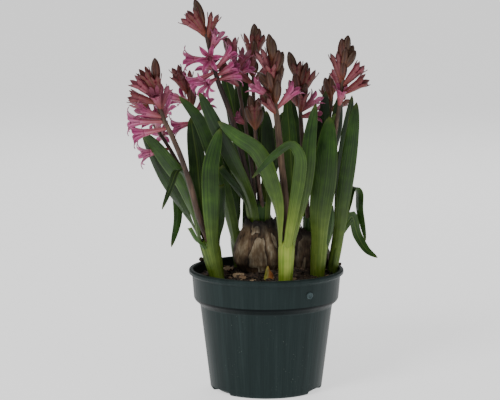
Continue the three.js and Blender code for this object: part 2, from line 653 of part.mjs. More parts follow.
// The plant put together
const finishes = {
  pot: { color: colours.pot, roughness: 0.45, metalness: 0 },
  soil: { color: colours.soil, roughness: 1, metalness: 0 },
  bulb: { color: colours.bulb, roughness: 0.8, metalness: 0 },
  sprout: { color: colours.sprout, roughness: 0.7, metalness: 0 },
  leaf: { color: colours.leaf, roughness: 0.5, metalness: 0 },
  flower: { color: colours.flower, roughness: 0.55, metalness: 0 },
};

function named(name, geometry, finish) {
  const mesh = new THREE.Mesh(geometry, new THREE.MeshStandardMaterial(finishes[finish]));
  mesh.name = name;
  return mesh;
}

const plant = new THREE.Group();
plant.add(named('pot', potGeometry(), 'pot'));
plant.add(named('soil', soilGeometry(), 'soil'));
for (const [place, bulb] of Object.entries(bulbs)) {
  plant.add(named(`bulb_${place}`, bulbGeometry(bulb), 'bulb'));
}
plant.add(named('sprout', sproutGeometry(), 'sprout'));
for (const leaf of leaves) {
  plant.add(named(leaf.name, leafGeometry(leaf), 'leaf'));
}
for (const spike of spikes) {
  plant.add(named(spike.name, spikeGeometry(spike), 'flower'));
}

export default plant;
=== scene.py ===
import bmesh
import bpy
import numpy as np
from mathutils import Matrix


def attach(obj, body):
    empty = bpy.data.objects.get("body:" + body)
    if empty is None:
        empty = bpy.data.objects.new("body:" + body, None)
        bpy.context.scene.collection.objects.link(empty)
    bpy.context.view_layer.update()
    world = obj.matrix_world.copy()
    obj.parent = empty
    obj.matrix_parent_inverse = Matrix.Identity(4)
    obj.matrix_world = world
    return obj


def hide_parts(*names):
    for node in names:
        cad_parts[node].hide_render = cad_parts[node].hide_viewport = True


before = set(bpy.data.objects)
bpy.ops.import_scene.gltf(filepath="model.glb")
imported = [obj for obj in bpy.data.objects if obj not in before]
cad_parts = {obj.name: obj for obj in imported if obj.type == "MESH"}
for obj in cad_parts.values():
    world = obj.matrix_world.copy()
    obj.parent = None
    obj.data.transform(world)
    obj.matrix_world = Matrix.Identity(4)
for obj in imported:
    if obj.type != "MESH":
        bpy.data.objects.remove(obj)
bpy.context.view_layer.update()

# Camera: a long lens a little above the top of the plant, looking slightly down at its middle
# from the front, as in the photograph.
ELEVATION = np.radians(8.1)
AIM = np.array([-0.0126, 0.0, 0.147])
DISTANCE = 1.5
LENS = 139.9
SENSOR_WIDTH = 36.0
FARTHEST = 200.0


def add_camera():
    """A camera that stands off from its aim along a line raised by the elevation."""
    data = bpy.data.cameras.new("camera")
    data.lens = LENS
    data.sensor_width = SENSOR_WIDTH
    data.clip_end = FARTHEST
    camera = bpy.data.objects.new("camera", data)
    camera.location = AIM + DISTANCE * np.array([0.0, -np.cos(ELEVATION), np.sin(ELEVATION)])
    camera.rotation_euler = (np.pi / 2 - ELEVATION, 0.0, 0.0)
    bpy.context.collection.objects.link(camera)
    bpy.context.scene.camera = camera


add_camera()

# Studio: a pale plain floor that fills the picture, an even white sky, and three soft lights, the
# brightest from the upper left in front of the plant.
WHITE = (1.0, 1.0, 1.0, 1.0)
SKY_STRENGTH = 0.22
# Each light has a size, a power, a place and the height at which it is aimed.
LIGHTS = [
    ("key", 0.7, 17.0, (-0.9, -1.3, 1.5), 0.15),
    ("fill", 1.2, 2.5, (1.4, -1.0, 0.7), 0.15),
    ("back", 1.0, 8.0, (0.3, 1.4, 1.3), 0.2),
]
FLOOR_REACH = 60.0
FLOOR_DROP = 0.0002
FLOOR_COLOUR = (0.9, 0.9, 0.9, 1.0)
FLOOR_GLOW = 0.95


def node(tree, kind, inputs=None, **settings):
    """Adds a shader node. Each input is a plain value or the output that feeds it."""
    made = tree.nodes.new("ShaderNode" + kind)
    for name, value in settings.items():
        setattr(made, name, value)
    for name, value in (inputs or {}).items():
        if isinstance(value, bpy.types.NodeSocket):
            tree.links.new(value, made.inputs[name])
        else:
            made.inputs[name].default_value = value
    return made


def new_material(name, **values):
    """A material with one principled shader, some of its inputs set to plain values."""
    material = bpy.data.materials.new(name)
    material.use_nodes = True
    tree = material.node_tree
    shader = tree.nodes["Principled BSDF"]
    for key, value in values.items():
        shader.inputs[key.replace("_", " ")].default_value = value
    return material, tree, shader


def bumped(tree, shader, height, strength, distance):
    """Small relief from a height, in shading only."""
    made = node(tree, "Bump", {"Height": height, "Strength": strength, "Distance": distance})
    tree.links.new(made.outputs["Normal"], shader.inputs["Normal"])


def add_light(name, size, power, place, aim_height):
    """A square light at a place, turned to face a point on the upright axis."""
    data = bpy.data.lights.new(name, "AREA")
    data.size = size
    data.energy = power
    light = bpy.data.objects.new(name, data)
    light.location = place
    direction = np.array([0.0, 0.0, aim_height]) - np.array(place)
    tilt = np.arctan2(np.hypot(direction[0], direction[1]), -direction[2])
    turn = np.arctan2(-direction[0], direction[1])
    light.rotation_euler = (tilt, 0.0, turn)
    bpy.context.collection.objects.link(light)


def add_sky():
    """The same white from all round."""
    world = bpy.data.worlds.new("studio")
    world.use_nodes = True
    background = world.node_tree.nodes["Background"]
    background.inputs["Color"].default_value = WHITE
    background.inputs["Strength"].default_value = SKY_STRENGTH
    bpy.context.scene.world = world


def add_floor():
    """A square sheet just under the pot, a little self-lit so that it is evenly pale."""
    mesh = bpy.data.meshes.new("floor")
    sides = ((-1, -1), (1, -1), (1, 1), (-1, 1))
    corners = [(x * FLOOR_REACH, y * FLOOR_REACH, -FLOOR_DROP) for x, y in sides]
    mesh.from_pydata(corners, [], [(0, 1, 2, 3)])
    material, tree, shader = new_material("floor", Base_Color=FLOOR_COLOUR, Roughness=0.9)
    shader.inputs["Emission Color"].default_value = WHITE
    shader.inputs["Emission Strength"].default_value = FLOOR_GLOW
    grain = node(tree, "TexNoise", {"Scale": 900.0, "Detail": 3.0})
    bumped(tree, shader, grain.outputs["Fac"], 0.05, 0.0002)
    mesh.materials.append(material)
    floor = bpy.data.objects.new("floor", mesh)
    bpy.context.collection.objects.link(floor)


add_sky()
for light in LIGHTS:
    add_light(*light)
add_floor()

# Pot: one injection-moulded shell of thin dark green-grey polypropylene, with a lip, an upright
# band on a shoulder, drainage notches at the foot and a moulding button on the band. All shapes
# below are in millimetres and become metres where the piece is made.
MM = 0.001
WELD_DISTANCE = 0.002 * MM
RIM_RADIUS = 60.0
POT_HEIGHT = 94.0
FOOT_RADIUS = 43.4
WALL = 1.2
POT_FLOOR = 4.4
CORNER_ROUNDING = 0.7
POT_SIDES = 240
BUTTON_SIDES = 32
LIP_HEIGHT = 4.0
BAND_HEIGHT = 22.5
SHOULDER_HEIGHT = 5.5
BAND_STEP = 2.4
BAND_DRAFT = 1.5
SHOULDER_STEP = 4.8
NOTCH_HEIGHT = 3.0
NOTCH_DEGREES = (93.0, 213.0, 334.0)
NOTCH_HALF_DEGREES = 16.0
BUTTON_DEGREES = -55.5
BUTTON_RADIUS = 2.5
BUTTON_BELOW_RIM = 13.0
BAND_TOP = POT_HEIGHT - LIP_HEIGHT
BAND_FOOT = POT_HEIGHT - BAND_HEIGHT
SHOULDER_FOOT = BAND_FOOT - SHOULDER_HEIGHT
BAND_TOP_RADIUS = RIM_RADIUS - BAND_STEP
BAND_FOOT_RADIUS = BAND_TOP_RADIUS - BAND_DRAFT
BODY_TOP_RADIUS = BAND_FOOT_RADIUS - SHOULDER_STEP


def rgb(red, green, blue):
    """A colour read as 0 to 255 on a screen, as the linear colour that a shader takes.

    The numbers are those of the standard screen curve.
    """
    screen = np.array([red, green, blue]) / 255.0
    linear = np.where(screen > 0.04045, ((screen + 0.055) / 1.055) ** 2.4, screen / 12.92)
    return (*linear.tolist(), 1.0)


def maths(tree, operation, first, second=0.0, clamp=False):
    """One step of arithmetic on two numbers or outputs."""
    return node(tree, "Math", {0: first, 1: second}, operation=operation, use_clamp=clamp).outputs[0]


def times(tree, first, second, clamp=False):
    """The product of two numbers or outputs."""
    return maths(tree, "MULTIPLY", first, second, clamp)


def weighed(tree, *terms):
    """The sum of several outputs, each times its own weight."""
    parts = [times(tree, output, weight) for output, weight in terms]
    total = parts[0]
    for part in parts[1:]:
        total = maths(tree, "ADD", total, part)
    return total


def past(tree, value, start, slope):
    """How far a value is past a start, times a slope, kept from 0 to 1."""
    return times(tree, maths(tree, "SUBTRACT", value, start), slope, clamp=True)


def blend(tree, share, first, second, mode="MIX"):
    """Two colours mixed by a share from 0 to 1."""
    inputs = {"Factor": share, 6: first, 7: second}
    return node(tree, "Mix", inputs, data_type="RGBA", blend_type=mode, clamp_factor=True).outputs[2]


def tinted(tree, base, colour, share, strength):
    """The base with another colour over it, as strongly as the share times the strength."""
    return blend(tree, times(tree, share, strength), base, colour)


def ramp(tree, share, stops):
    """The colour at a share from 0 to 1 along a row of (place, colour) stops."""
    made = node(tree, "ValToRGB", {"Fac": share})
    elements = made.color_ramp.elements
    elements[0].position, elements[0].color = stops[0]
    elements[1].position, elements[1].color = stops[-1]
    for place, colour in stops[1:-1]:
        elements.new(place).color = colour
    return made.outputs["Color"]


def noise(tree, vector, scale, detail=4.0, distortion=0.0):
    """Smooth random shades from 0 to 1 over the given coordinates."""
    inputs = {"Vector": vector, "Scale": scale, "Detail": detail, "Distortion": distortion}
    return node(tree, "TexNoise", inputs).outputs["Fac"]


def object_place(tree):
    """Where a point of the surface is, in metres, in the piece's own frame."""
    return node(tree, "TexCoord").outputs["Object"]


def attribute(tree, name):
    """A value that the points of the piece carry under this name."""
    return node(tree, "Attribute", attribute_name=name).outputs["Fac"]


def painted(tree, shader, colour, roughness=None):
    """Feeds the shader's colour, and its roughness where one is given."""
    tree.links.new(colour, shader.inputs["Base Color"])
    if roughness is not None:
        tree.links.new(roughness, shader.inputs["Roughness"])


def grid_faces(rows, columns):
    """Quads between neighbouring rows of a grid whose columns close into a ring."""
    row, column = np.meshgrid(np.arange(rows - 1), np.arange(columns), indexing="ij")
    beside = (column + 1) % columns
    corners = [row * columns + column, row * columns + beside, (row + 1) * columns + beside,
               (row + 1) * columns + column]
    return np.stack(corners, axis=-1).reshape(-1, 4)


def add_piece(name, nodes, materials, grids, values=None, shades=None):
    """One object from grids of points in millimetres, each closed along its columns.

    values holds one array a grid for each named point value, and shades the material number of
    each grid. Points that fall together are welded, and the faces are turned outwards.
    """
    points, faces, numbers, start = [], [], [], 0
    for index, grid in enumerate(grids):
        rows, columns = grid.shape[:2]
        points.append(grid.reshape(-1, 3) * MM)
        faces.append(grid_faces(rows, columns) + start)
        numbers.append(np.full(len(faces[-1]), shades[index] if shades else 0))
        start += rows * columns
    mesh = bpy.data.meshes.new(name)
    mesh.from_pydata(np.concatenate(points).tolist(), [], np.concatenate(faces).tolist())
    mesh.polygons.foreach_set("material_index", np.concatenate(numbers).astype(np.int32))
    for key, arrays in (values or {}).items():
        layer = mesh.attributes.new(key, "FLOAT", "POINT")
        flat_values = np.concatenate([array.ravel() for array in arrays])
        layer.data.foreach_set("value", flat_values.astype(np.float32))
    welded = bmesh.new()
    welded.from_mesh(mesh)
    bmesh.ops.remove_doubles(welded, verts=welded.verts, dist=WELD_DISTANCE)
    bmesh.ops.recalc_face_normals(welded, faces=welded.faces)
    welded.to_mesh(mesh)
    welded.free()
    mesh.shade_smooth()
    for material in materials:
        mesh.materials.append(material)
    piece = bpy.data.objects.new(name, mesh)
    bpy.context.collection.objects.link(piece)
    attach(piece, "root")
    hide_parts(*nodes)


def eased(profile, radius):
    """A profile of radii and heights with each corner rounded by a short curve.

    Each curve starts and ends `radius` from the corner, or a third of the way to the next corner
    if that is nearer, with one more point a little beyond each end to hold the flat parts flat.
    """
    beyond = 0.3
    corners = np.array(profile)
    rounded = [corners[:1]]
    for before, corner, after in zip(corners[:-2], corners[1:-1], corners[2:]):
        back = before - corner
        ahead = after - corner
        near = min(radius, np.hypot(*back) / 3, np.hypot(*ahead) / 3)
        back_step = back / np.hypot(*back) * near
        ahead_step = ahead / np.hypot(*ahead) * near
        start, end = corner + back_step, corner + ahead_step
        share = np.linspace(0, 1, 4)[:, None]
        curve = start * (1 - share) ** 2 + 2 * corner * share * (1 - share) + end * share ** 2
        rounded += [(start + back_step * beyond)[None], curve, (end + ahead_step * beyond)[None]]
    return np.concatenate(rounded + [corners[-1:]])


def circle(sides):
    """Even angles all the way round."""
    return np.linspace(0, 2 * np.pi, sides, endpoint=False)


def polar(radius, turn, height):
    """Points round the upright axis: x = r cos t, y = r sin t, z = h."""
    x, y = radius * np.cos(turn), radius * np.sin(turn)
    return np.stack([x, y, np.broadcast_to(height, x.shape)], axis=-1)


def turned(profile, sides):
    """A profile of radii and heights turned about the upright axis."""
    return polar(profile[:, :1], circle(sides), profile[:, 1:])


def pot_grids():
    """The turned shell with its notches, and the button: a low disc that faces out of the band.

    The outer line runs from the middle of the underside up to the lip, and the inner line back
    down to the middle of the floor. Inside a notch, all points near the foot rise to its height.
    """
    outer = [(0, 0), (FOOT_RADIUS - 6, 0), (FOOT_RADIUS - 1.2, 0), (FOOT_RADIUS, 1.4), (FOOT_RADIUS + 0.3, 4),
             (BODY_TOP_RADIUS, SHOULDER_FOOT), (BODY_TOP_RADIUS + 0.9, SHOULDER_FOOT + 1.2),
             (BAND_FOOT_RADIUS - 0.9, BAND_FOOT - 1.6), (BAND_FOOT_RADIUS, BAND_FOOT),
             (BAND_TOP_RADIUS, BAND_TOP - 0.6), (RIM_RADIUS, BAND_TOP + 0.6), (RIM_RADIUS, POT_HEIGHT - 1),
             (RIM_RADIUS - 0.8, POT_HEIGHT)]
    inner = [(BAND_TOP_RADIUS - WALL + 0.6, POT_HEIGHT), (BAND_TOP_RADIUS - WALL, POT_HEIGHT - 1.5),
             (BAND_FOOT_RADIUS - WALL, BAND_FOOT + 1), (BODY_TOP_RADIUS - WALL, SHOULDER_FOOT + 1),
             (FOOT_RADIUS - WALL, POT_FLOOR + 0.8), (FOOT_RADIUS - WALL - 1.4, POT_FLOOR), (0, POT_FLOOR)]
    shell = turned(eased(outer + inner, CORNER_ROUNDING), POT_SIDES)
    turn = np.degrees(np.arctan2(shell[..., 1], shell[..., 0]))
    radius = np.hypot(shell[..., 0], shell[..., 1])
    near_foot = (radius > FOOT_RADIUS - 5) & (shell[..., 2] < NOTCH_HEIGHT)
    for middle in NOTCH_DEGREES:
        away = np.abs((turn - middle + 180) % 360 - 180)
        shell[..., 2] = np.where((away < NOTCH_HALF_DEGREES) & near_foot, NOTCH_HEIGHT, shell[..., 2])
    disc = [(0, 0.7), (BUTTON_RADIUS - 1.1, 0.9), (BUTTON_RADIUS - 0.5, 1.6), (BUTTON_RADIUS, 1.3),
            (BUTTON_RADIUS + 0.3, -1.2), (0, -1.2)]
    disc = turned(eased(disc, 0.4), BUTTON_SIDES)
    angle = np.radians(BUTTON_DEGREES)
    outward = np.array([np.cos(angle), np.sin(angle), 0.0])
    sideways = np.array([-np.sin(angle), np.cos(angle), 0.0])
    upward = np.array([0.0, 0.0, 1.0])
    place = outward * (BAND_TOP_RADIUS - 0.9) + upward * (POT_HEIGHT - BUTTON_BELOW_RIM)
    button = place + disc[..., :1] * sideways + disc[..., 1:2] * upward + disc[..., 2:] * outward
    return [shell, button]


def pot_material():
    """Dark green-grey plastic: upright flow streaks, specks of dust, a paler button.

    Painted shade darkens the shoulder by height, with a thin dark line of painted shadow just under the foot
    of the band.
    """
    material, tree, shader = new_material("pot_plastic", Specular_IOR_Level=0.1,
                                          Specular_Tint=(0.72, 0.93, 1.0, 1.0))
    place = object_place(tree)
    parts = node(tree, "SeparateXYZ", {"Vector": place}).outputs
    flat = node(tree, "CombineXYZ", {"X": parts["X"], "Y": parts["Y"]}).outputs["Vector"]
    around = node(tree, "VectorMath", {0: flat}, operation="NORMALIZE").outputs["Vector"]
    turn = node(tree, "SeparateXYZ", {"Vector": around}).outputs
    climb = times(tree, parts["Z"], 0.9)
    column = node(tree, "CombineXYZ", {"X": turn["X"], "Y": turn["Y"], "Z": climb}).outputs["Vector"]
    streak = weighed(tree, (noise(tree, column, 9.0, 3.0), 0.6), (noise(tree, column, 48.0, 2.0), 0.4))
    colour = ramp(tree, streak, [(0.3, rgb(33, 41, 40)), (0.5, rgb(38, 47, 46)), (0.72, rgb(46, 56, 55))])
    speck = maths(tree, "GREATER_THAN", noise(tree, place, 900.0, 1.0), 0.755)
    patch = maths(tree, "GREATER_THAN", noise(tree, place, 30.0, 2.0), 0.52)
    dusted = blend(tree, times(tree, speck, patch), colour, rgb(84, 92, 86))
    # Painted shade: the shoulder darkens with height, most in a thin band of painted shadow just under the
    # foot of the band.
    shoulder = past(tree, parts["Z"], SHOULDER_FOOT * MM, 100.0)
    shade = ramp(tree, shoulder, [(0.0, WHITE), (0.12, rgb(170, 170, 170)), (0.36, rgb(150, 150, 150)),
                                  (0.44, rgb(60, 60, 60)), (0.55, rgb(60, 60, 60)), (0.62, WHITE)])
    shaded = blend(tree, 1.0, dusted, shade, "MULTIPLY")
    # The button takes a paler grey than the shell.
    paled = tinted(tree, shaded, rgb(76, 90, 92), attribute(tree, "pale_button"), 0.8)
    roughness = maths(tree, "ADD", 0.3, times(tree, noise(tree, column, 20.0), 0.22))
    painted(tree, shader, paled, roughness)
    bumped(tree, shader, streak, 0.25, 0.0006)
    return material


pot_parts = pot_grids()
pale_button_values = [np.zeros(pot_parts[0].shape[:2]), np.ones(pot_parts[1].shape[:2])]
add_piece("pot_shell", ["pot"], [pot_material()], pot_parts, {"pale_button": pale_button_values})

# Soil: moist peat compost that fills the pot to just under the lip, mounded and lumpy, poured in
# round the bulbs, with clods, crumbs, pale bark chips and flakes of old bulb skin loose on top.
CLEARANCE = 0.3
SOIL_DEPTH_AT_WALL = 8.0
SOIL_LEVEL = POT_HEIGHT - SOIL_DEPTH_AT_WALL
MOUND_HEIGHT = 5.5
MOUND_AT = (18, 4)
MOUND_SPREAD = 27
# Each clod has a place and a size, each flake a place, length, width, turn, tip and curl.
CLODS = [
    ((-50.5, 29.0, 95.5), 2.2), ((57.6, 13.3, 94.6), 1.5), ((-6.5, -21.5, 87.5), 2.8),
    ((8.5, -22.5, 87.5), 2.4), ((-25.0, -20.0, 87.5), 2.6), ((24.0, -18.0, 89.0), 3.0),
    ((52.0, -12.0, 88.5), 2.8), ((-2.0, 27.0, 127.0), 3.0),
]
FLAKES = [
    ((-21.9, -7.5, 89), 9, 4.6, 20, 50, 0.9), ((-18, -16, 89), 7, 3.4, -35, 60, 0.6),
    ((-29.9, 23, 89), 8, 3.6, 10, 55, 0.7), ((26.6, 6, 90), 8, 3.4, -20, 60, 0.7),
    ((30.3, 1.5, 91), 7, 3.2, 25, 55, 0.6), ((49.9, 8, 90), 8, 3.8, -10, 60, 0.8),
    ((20, -26, 89.5), 6, 2.6, 30, 50, 0.5), ((-10, -27, 88.5), 5, 2.4, -20, 60, 0.5),
    ((36, -26, 89), 6, 2.8, 10, 55, 0.5), ((49, 13, 96), 8, 4.2, 80, 70, 0.9),
]


def unit(vectors):
    """Each row of numbers scaled to length one."""
    return vectors / np.linalg.norm(vectors, axis=1, keepdims=True)


def rough(points, size, seed, waves=18):
    """Smooth random height, about -1 to 1: the sum of waves in random directions.

    The waves are 0.6 to 1.7 times `size` long, and the sum is divided by the root of their number.
    """
    draw = np.random.default_rng(seed)
    direction = unit(draw.normal(size=(waves, 3)))
    length = size * draw.uniform(0.6, 1.7, size=(waves, 1))
    phase = draw.uniform(0, 2 * np.pi, size=waves)
    total = np.sin(points @ (direction / length * 2 * np.pi).T + phase).sum(axis=-1)
    return total / np.sqrt(waves) * 0.9


def soil_height(x, y):
    """The soil's level plus a low mound towards the middle and two crossing ripples.

    mound = height x exp(-distance squared / (2 x spread squared)); one ripple is a sine of x times
    a cosine of y, the other a sine that runs aslant.
    """
    away = (x - MOUND_AT[0]) ** 2 + (y - MOUND_AT[1]) ** 2
    mound = MOUND_HEIGHT * np.exp(-away / (2 * MOUND_SPREAD ** 2))
    ripples = np.sin(0.41 * x + 0.9) * np.cos(0.37 * y) + 0.6 * np.sin(0.83 * x - 0.71 * y)
    return SOIL_LEVEL + mound + 0.55 * ripples


def soil_grid():
    """The turned block inside the pot's wall, with a lumpy top.

    top = soil height + three sizes of smooth random lumps, which are lower near the wall.
    """
    gap = WALL + CLEARANCE
    floor = POT_FLOOR + CLEARANCE
    widest = BAND_FOOT_RADIUS - gap + 0.6
    sides = [(0, floor), (FOOT_RADIUS - gap - 0.6, floor), (FOOT_RADIUS - gap, floor + 1.9),
             (BODY_TOP_RADIUS - gap, SHOULDER_FOOT + 1.2), (BAND_FOOT_RADIUS - gap, BAND_FOOT + 1.4),
             (widest, SOIL_LEVEL - 1.5)]
    rings = np.linspace(widest, 0, 70)
    top = np.stack([rings, np.full_like(rings, SOIL_LEVEL)], axis=1)
    grid = turned(np.concatenate([np.array(sides), top]), 220)
    surface = grid[len(sides):]
    x, y = surface[..., 0], surface[..., 1]
    flat = np.stack([x, y, np.zeros_like(x)], axis=-1)
    lumps = 0.9 * rough(flat, 9.0, 3) + 0.55 * np.abs(rough(flat, 3.6, 4)) + 0.25 * rough(flat, 1.7, 5)
    fade = np.clip((BAND_FOOT_RADIUS - gap - np.hypot(x, y)) / 3, 0.15, 1)
    surface[..., 2] = soil_height(x, y) + lumps * fade
    return grid


def ball(rows, sides):
    """A ball of radius one from top to bottom: r = sin u, z = cos u."""
    up = np.linspace(0, np.pi, rows)[:, None]
    return polar(np.sin(up), circle(sides), np.cos(up))


def spun(spin, tip):
    """The turn that tips a shape about the x axis and then spins it about the upright one."""
    upright = np.array([[np.cos(spin), -np.sin(spin), 0], [np.sin(spin), np.cos(spin), 0], [0, 0, 1]])
    tipped = np.array([[1, 0, 0], [0, np.cos(tip), -np.sin(tip)], [0, np.sin(tip), np.cos(tip)]])
    return upright @ tipped


def crumb_grids(count, small, large, flatness, seed, within):
    """Loose grains, set down at random, evenly over a disc.

    Each is a ball x (1 + a quarter of a smooth random height) x its stretch, tipped, spun and moved.
    """
    draw = np.random.default_rng(seed)
    radius = within * np.sqrt(draw.uniform(0, 1, count))
    turn = draw.uniform(0, 2 * np.pi, count)
    x, y = radius * np.cos(turn), radius * np.sin(turn)
    size = small + (large - small) * draw.uniform(0, 1, count) ** 3
    round_lump = ball(5, 6)
    grids = []
    for index in range(count):
        stretch = size[index] * np.array([1.0, draw.uniform(0.35, 0.8), flatness * draw.uniform(0.6, 1.2)])
        spin, tip = draw.uniform(0, 2 * np.pi), draw.uniform(-0.5, 0.5)
        lump = round_lump * (1 + 0.25 * rough(round_lump * 3 + index, 2.2, 11)[..., None]) * stretch
        rest = [x[index], y[index], soil_height(x[index], y[index]) + 0.35 * size[index] + 0.5]
        grids.append(lump @ spun(spin, tip).T + rest)
    return grids


def capped(grid):
    """The grid with its first and last ring closed to the ring's middle point."""
    first = np.repeat(grid[:1].mean(axis=1, keepdims=True), grid.shape[1], axis=1)
    last = np.repeat(grid[-1:].mean(axis=1, keepdims=True), grid.shape[1], axis=1)
    return np.concatenate([first, grid, last])


def flake_grid(place, length, width, turn, tip, curl):
    """A thin curled flake: an oval strip, tipped and spun.

    half width = width / 2 x root of (1 - 0.96 share^2.4), and height = curl x (share squared + a
    cross curl) + half the thickness.
    """
    share = np.linspace(-1, 1, 15)[:, None]
    ring = circle(14)
    half = 0.5 * width * np.sqrt(1 - 0.96 * np.abs(share) ** 2.4)
    height = curl * (share ** 2 + 0.6 * np.cos(ring) ** 2) + 0.3 * np.sin(ring)
    strip = np.stack([0.5 * length * share * np.ones_like(ring), half * np.cos(ring), height], axis=-1)
    strip = strip + 0.25 * rough(strip + length, 3.0, 12)[..., None]
    return capped(strip @ spun(np.radians(turn), np.radians(tip)).T + place)


def clump_grid(place, size, seed):
    """A clod: a ball x (1 + smooth random height of two sizes), squashed a little."""
    whole = ball(14, 20)
    swell = 1 + 0.2 * rough(whole, 1.2, seed) + 0.1 * rough(whole, 0.5, seed + 1)
    return whole * swell[..., None] * [size, size, 0.7 * size] + place


def soil_material():
    """Near-black brown peat: fine grains and clumps, dull, dark in the hollows."""
    material, tree, shader = new_material("peat", Roughness=0.9, Specular_IOR_Level=0.3)
    place = object_place(tree)
    mixed = weighed(tree, (noise(tree, place, 420.0, 6.0), 0.6), (noise(tree, place, 90.0, 4.0), 0.4))
    colour = ramp(tree, mixed, [(0.34, rgb(20, 17, 15)), (0.48, rgb(52, 43, 37)), (0.58, rgb(88, 72, 60)),
                                (0.7, rgb(138, 118, 96))])
    painted(tree, shader, colour)
    bumped(tree, shader, mixed, 0.9, 0.0012)
    return material


def stretched(tree, scale):
    """The object's own coordinates, in metres, scaled along each axis."""
    return node(tree, "Mapping", {"Vector": object_place(tree), "Scale": scale}).outputs["Vector"]


def swing(tree, value, amount):
    """A value from 0 to 1 as a swing of half the amount to either side of nothing."""
    return times(tree, maths(tree, "SUBTRACT", value, 0.5), amount)


def chip_material():
    """Pale dry bark and old bulb skin, from beige to brown, with a lengthwise grain."""
    material, tree, shader = new_material("bark_chip", Roughness=0.8)
    grain = noise(tree, stretched(tree, (900.0, 300.0, 900.0)), 1.0, 5.0)
    shade = maths(tree, "ADD", attribute(tree, "tone"), swing(tree, grain, 0.6))
    colour = ramp(tree, shade, [(0.0, rgb(58, 38, 26)), (0.45, rgb(112, 82, 55)), (0.8, rgb(166, 140, 108)),
                                (1.0, rgb(196, 176, 146))])
    painted(tree, shader, colour)
    bumped(tree, shader, grain, 0.5, 0.0004)
    return material


def tones(grids, seed):
    """One random number from 0 to 1 for all the points of each grid."""
    draw = np.random.default_rng(seed).uniform(0, 1, len(grids))
    return [np.full(grid.shape[:2], value) for grid, value in zip(grids, draw)]


peat = soil_material()
add_piece("soil_bed", ["soil"], [peat], [soil_grid()])
crumbs = crumb_grids(count=900, small=0.35, large=1.9, flatness=0.7, seed=21, within=53.0)
add_piece("soil_crumbs", ["soil"], [peat], crumbs)
clods = [clump_grid(place, size, 90 + number) for number, (place, size) in enumerate(CLODS)]
add_piece("soil_clods", ["soil"], [peat], clods)
chips = crumb_grids(count=120, small=1.2, large=4.2, flatness=0.16, seed=22, within=52.0)
chips += [flake_grid(*flake) for flake in FLAKES]
add_piece("bark_chips", ["soil"], [chip_material()], chips, {"tone": tones(chips, 23)})

# Bulbs: two fleshy bulbs half out of the soil in dry, torn, papery brown skins, open and nearly
# black at the neck, where the leaves and stems come out.
BULBS = {
    "centre": {"at": (-4.5, 15.0), "foot": 85.5, "height": 44.0, "radius": 21.0, "neck": 12.4, "seed": 1},
    "right": {"at": (34.0, 22.0), "foot": 84.0, "height": 36.0, "radius": 16.5, "neck": 9.6, "seed": 2},
}
# How much painted shade darkens each bulb's skin: the right bulb stands in the shade of the leaves.
BULB_PAINTED_SHADE = {"centre": 0.0, "right": 0.45}
SHREDS = 26


def neck_top(bulb):
    """The height of the top edge of a bulb's neck."""
    return bulb["foot"] + bulb["height"]


def read_off(places, run, columns):
    """Each column of values at the given places along its run."""
    return np.stack([np.interp(places, run, column) for column in columns.T], axis=1)


def bulb_grid(bulb):
    """The turned profile with shallow folds, slanting wrinkles and a torn edge.

    radius = profile radius x (1 + folds) + wrinkles, where the wrinkles run up the skin and lean
    with the height, and height = profile height + ragged teeth near the neck.
    """
    foot, height, radius, neck = bulb["foot"], bulb["height"], bulb["radius"], bulb["neck"]
    outline = np.array([(0, 0), (radius * 0.42, 0), (radius * 0.78, 0.1), (radius * 0.97, 0.25),
                        (radius, 0.38), (radius * 0.95, 0.55), (radius * 0.82, 0.72), (neck * 1.06, 0.88),
                        (neck, 1.0), (neck - 1.2, 1.0), (neck - 1.8, 0.9), (neck - 2.2, 0.86), (0, 0.86)])
    neck_edge = 8
    run = np.concatenate([[0], np.cumsum(np.hypot(*(np.diff(outline, axis=0) * [1, height]).T))])
    even = np.linspace(0, run[-1], 96)
    grid = turned(read_off(even, run, outline) * [1, height] + [0, foot], 168)
    turn = np.arctan2(grid[..., 1], grid[..., 0])
    rise = (grid[..., 2] - foot) / height
    seed = bulb["seed"]
    fold = 0.018 * np.sin(5 * turn + seed) + 0.012 * np.sin(9 * turn)
    lean = turn + 0.9 * rise
    skin = polar(radius, lean, grid[..., 2] * 0.28)
    layers = np.clip(rough(skin, 9.0, 30 + seed) * 1.6, -0.55, 0.55)
    wrinkle = 0.5 * layers + 0.3 * rough(skin, 2.6, 40 + seed) + 0.12 * rough(skin, 1.1, 50 + seed)
    outside = np.clip(rise / 0.1, 0, 1) * (even < run[neck_edge])[:, None]
    grow = 1 + outside * (fold + wrinkle / radius)
    grid[..., :2] *= grow[..., None]
    teeth = 0.9 * np.sin(7 * turn + seed) + 0.6 * np.sin(12 * turn)
    teeth = teeth + 0.7 * np.abs(rough(skin, 1.6, 60 + seed))
    grid[..., 2] += teeth * np.clip((rise - 0.8) / 0.2, 0, 1)
    return grid + [*bulb["at"], 0]


def shred_grids(bulb):
    """Dry strips of skin that stand up and curl away round the neck: tapered, flat and bent.

    reach = neck - 0.9 + 1.6 x curl x along squared, half width = width x (1 - along squared)^0.6.
    """
    draw = np.random.default_rng(70 + bulb["seed"])
    along = np.linspace(0, 1, 9)[:, None]
    ring = circle(8)
    grids = []
    for place in range(SHREDS):
        turn = 2 * np.pi * (place + draw.uniform(-0.4, 0.4)) / SHREDS
        length, width, curl = draw.uniform(4, 9), draw.uniform(1.2, 2.8), draw.uniform(-0.6, 1.6)
        out = bulb["neck"] - 0.9 + curl * along ** 2 * 1.6
        up = neck_top(bulb) - 5 + length * along
        half = width * (1 - along ** 2) ** 0.6
        angle = turn + half * np.cos(ring) / bulb["neck"] + 0.1 * along
        reach = out + 0.28 * np.sin(ring) * (1.2 - along)
        strip = polar(reach, angle, up)
        strip[..., 2] += 0.5 * rough(strip, 2.5, 80 + place)
        grids.append(capped(strip + [*bulb["at"], 0]))
    return grids


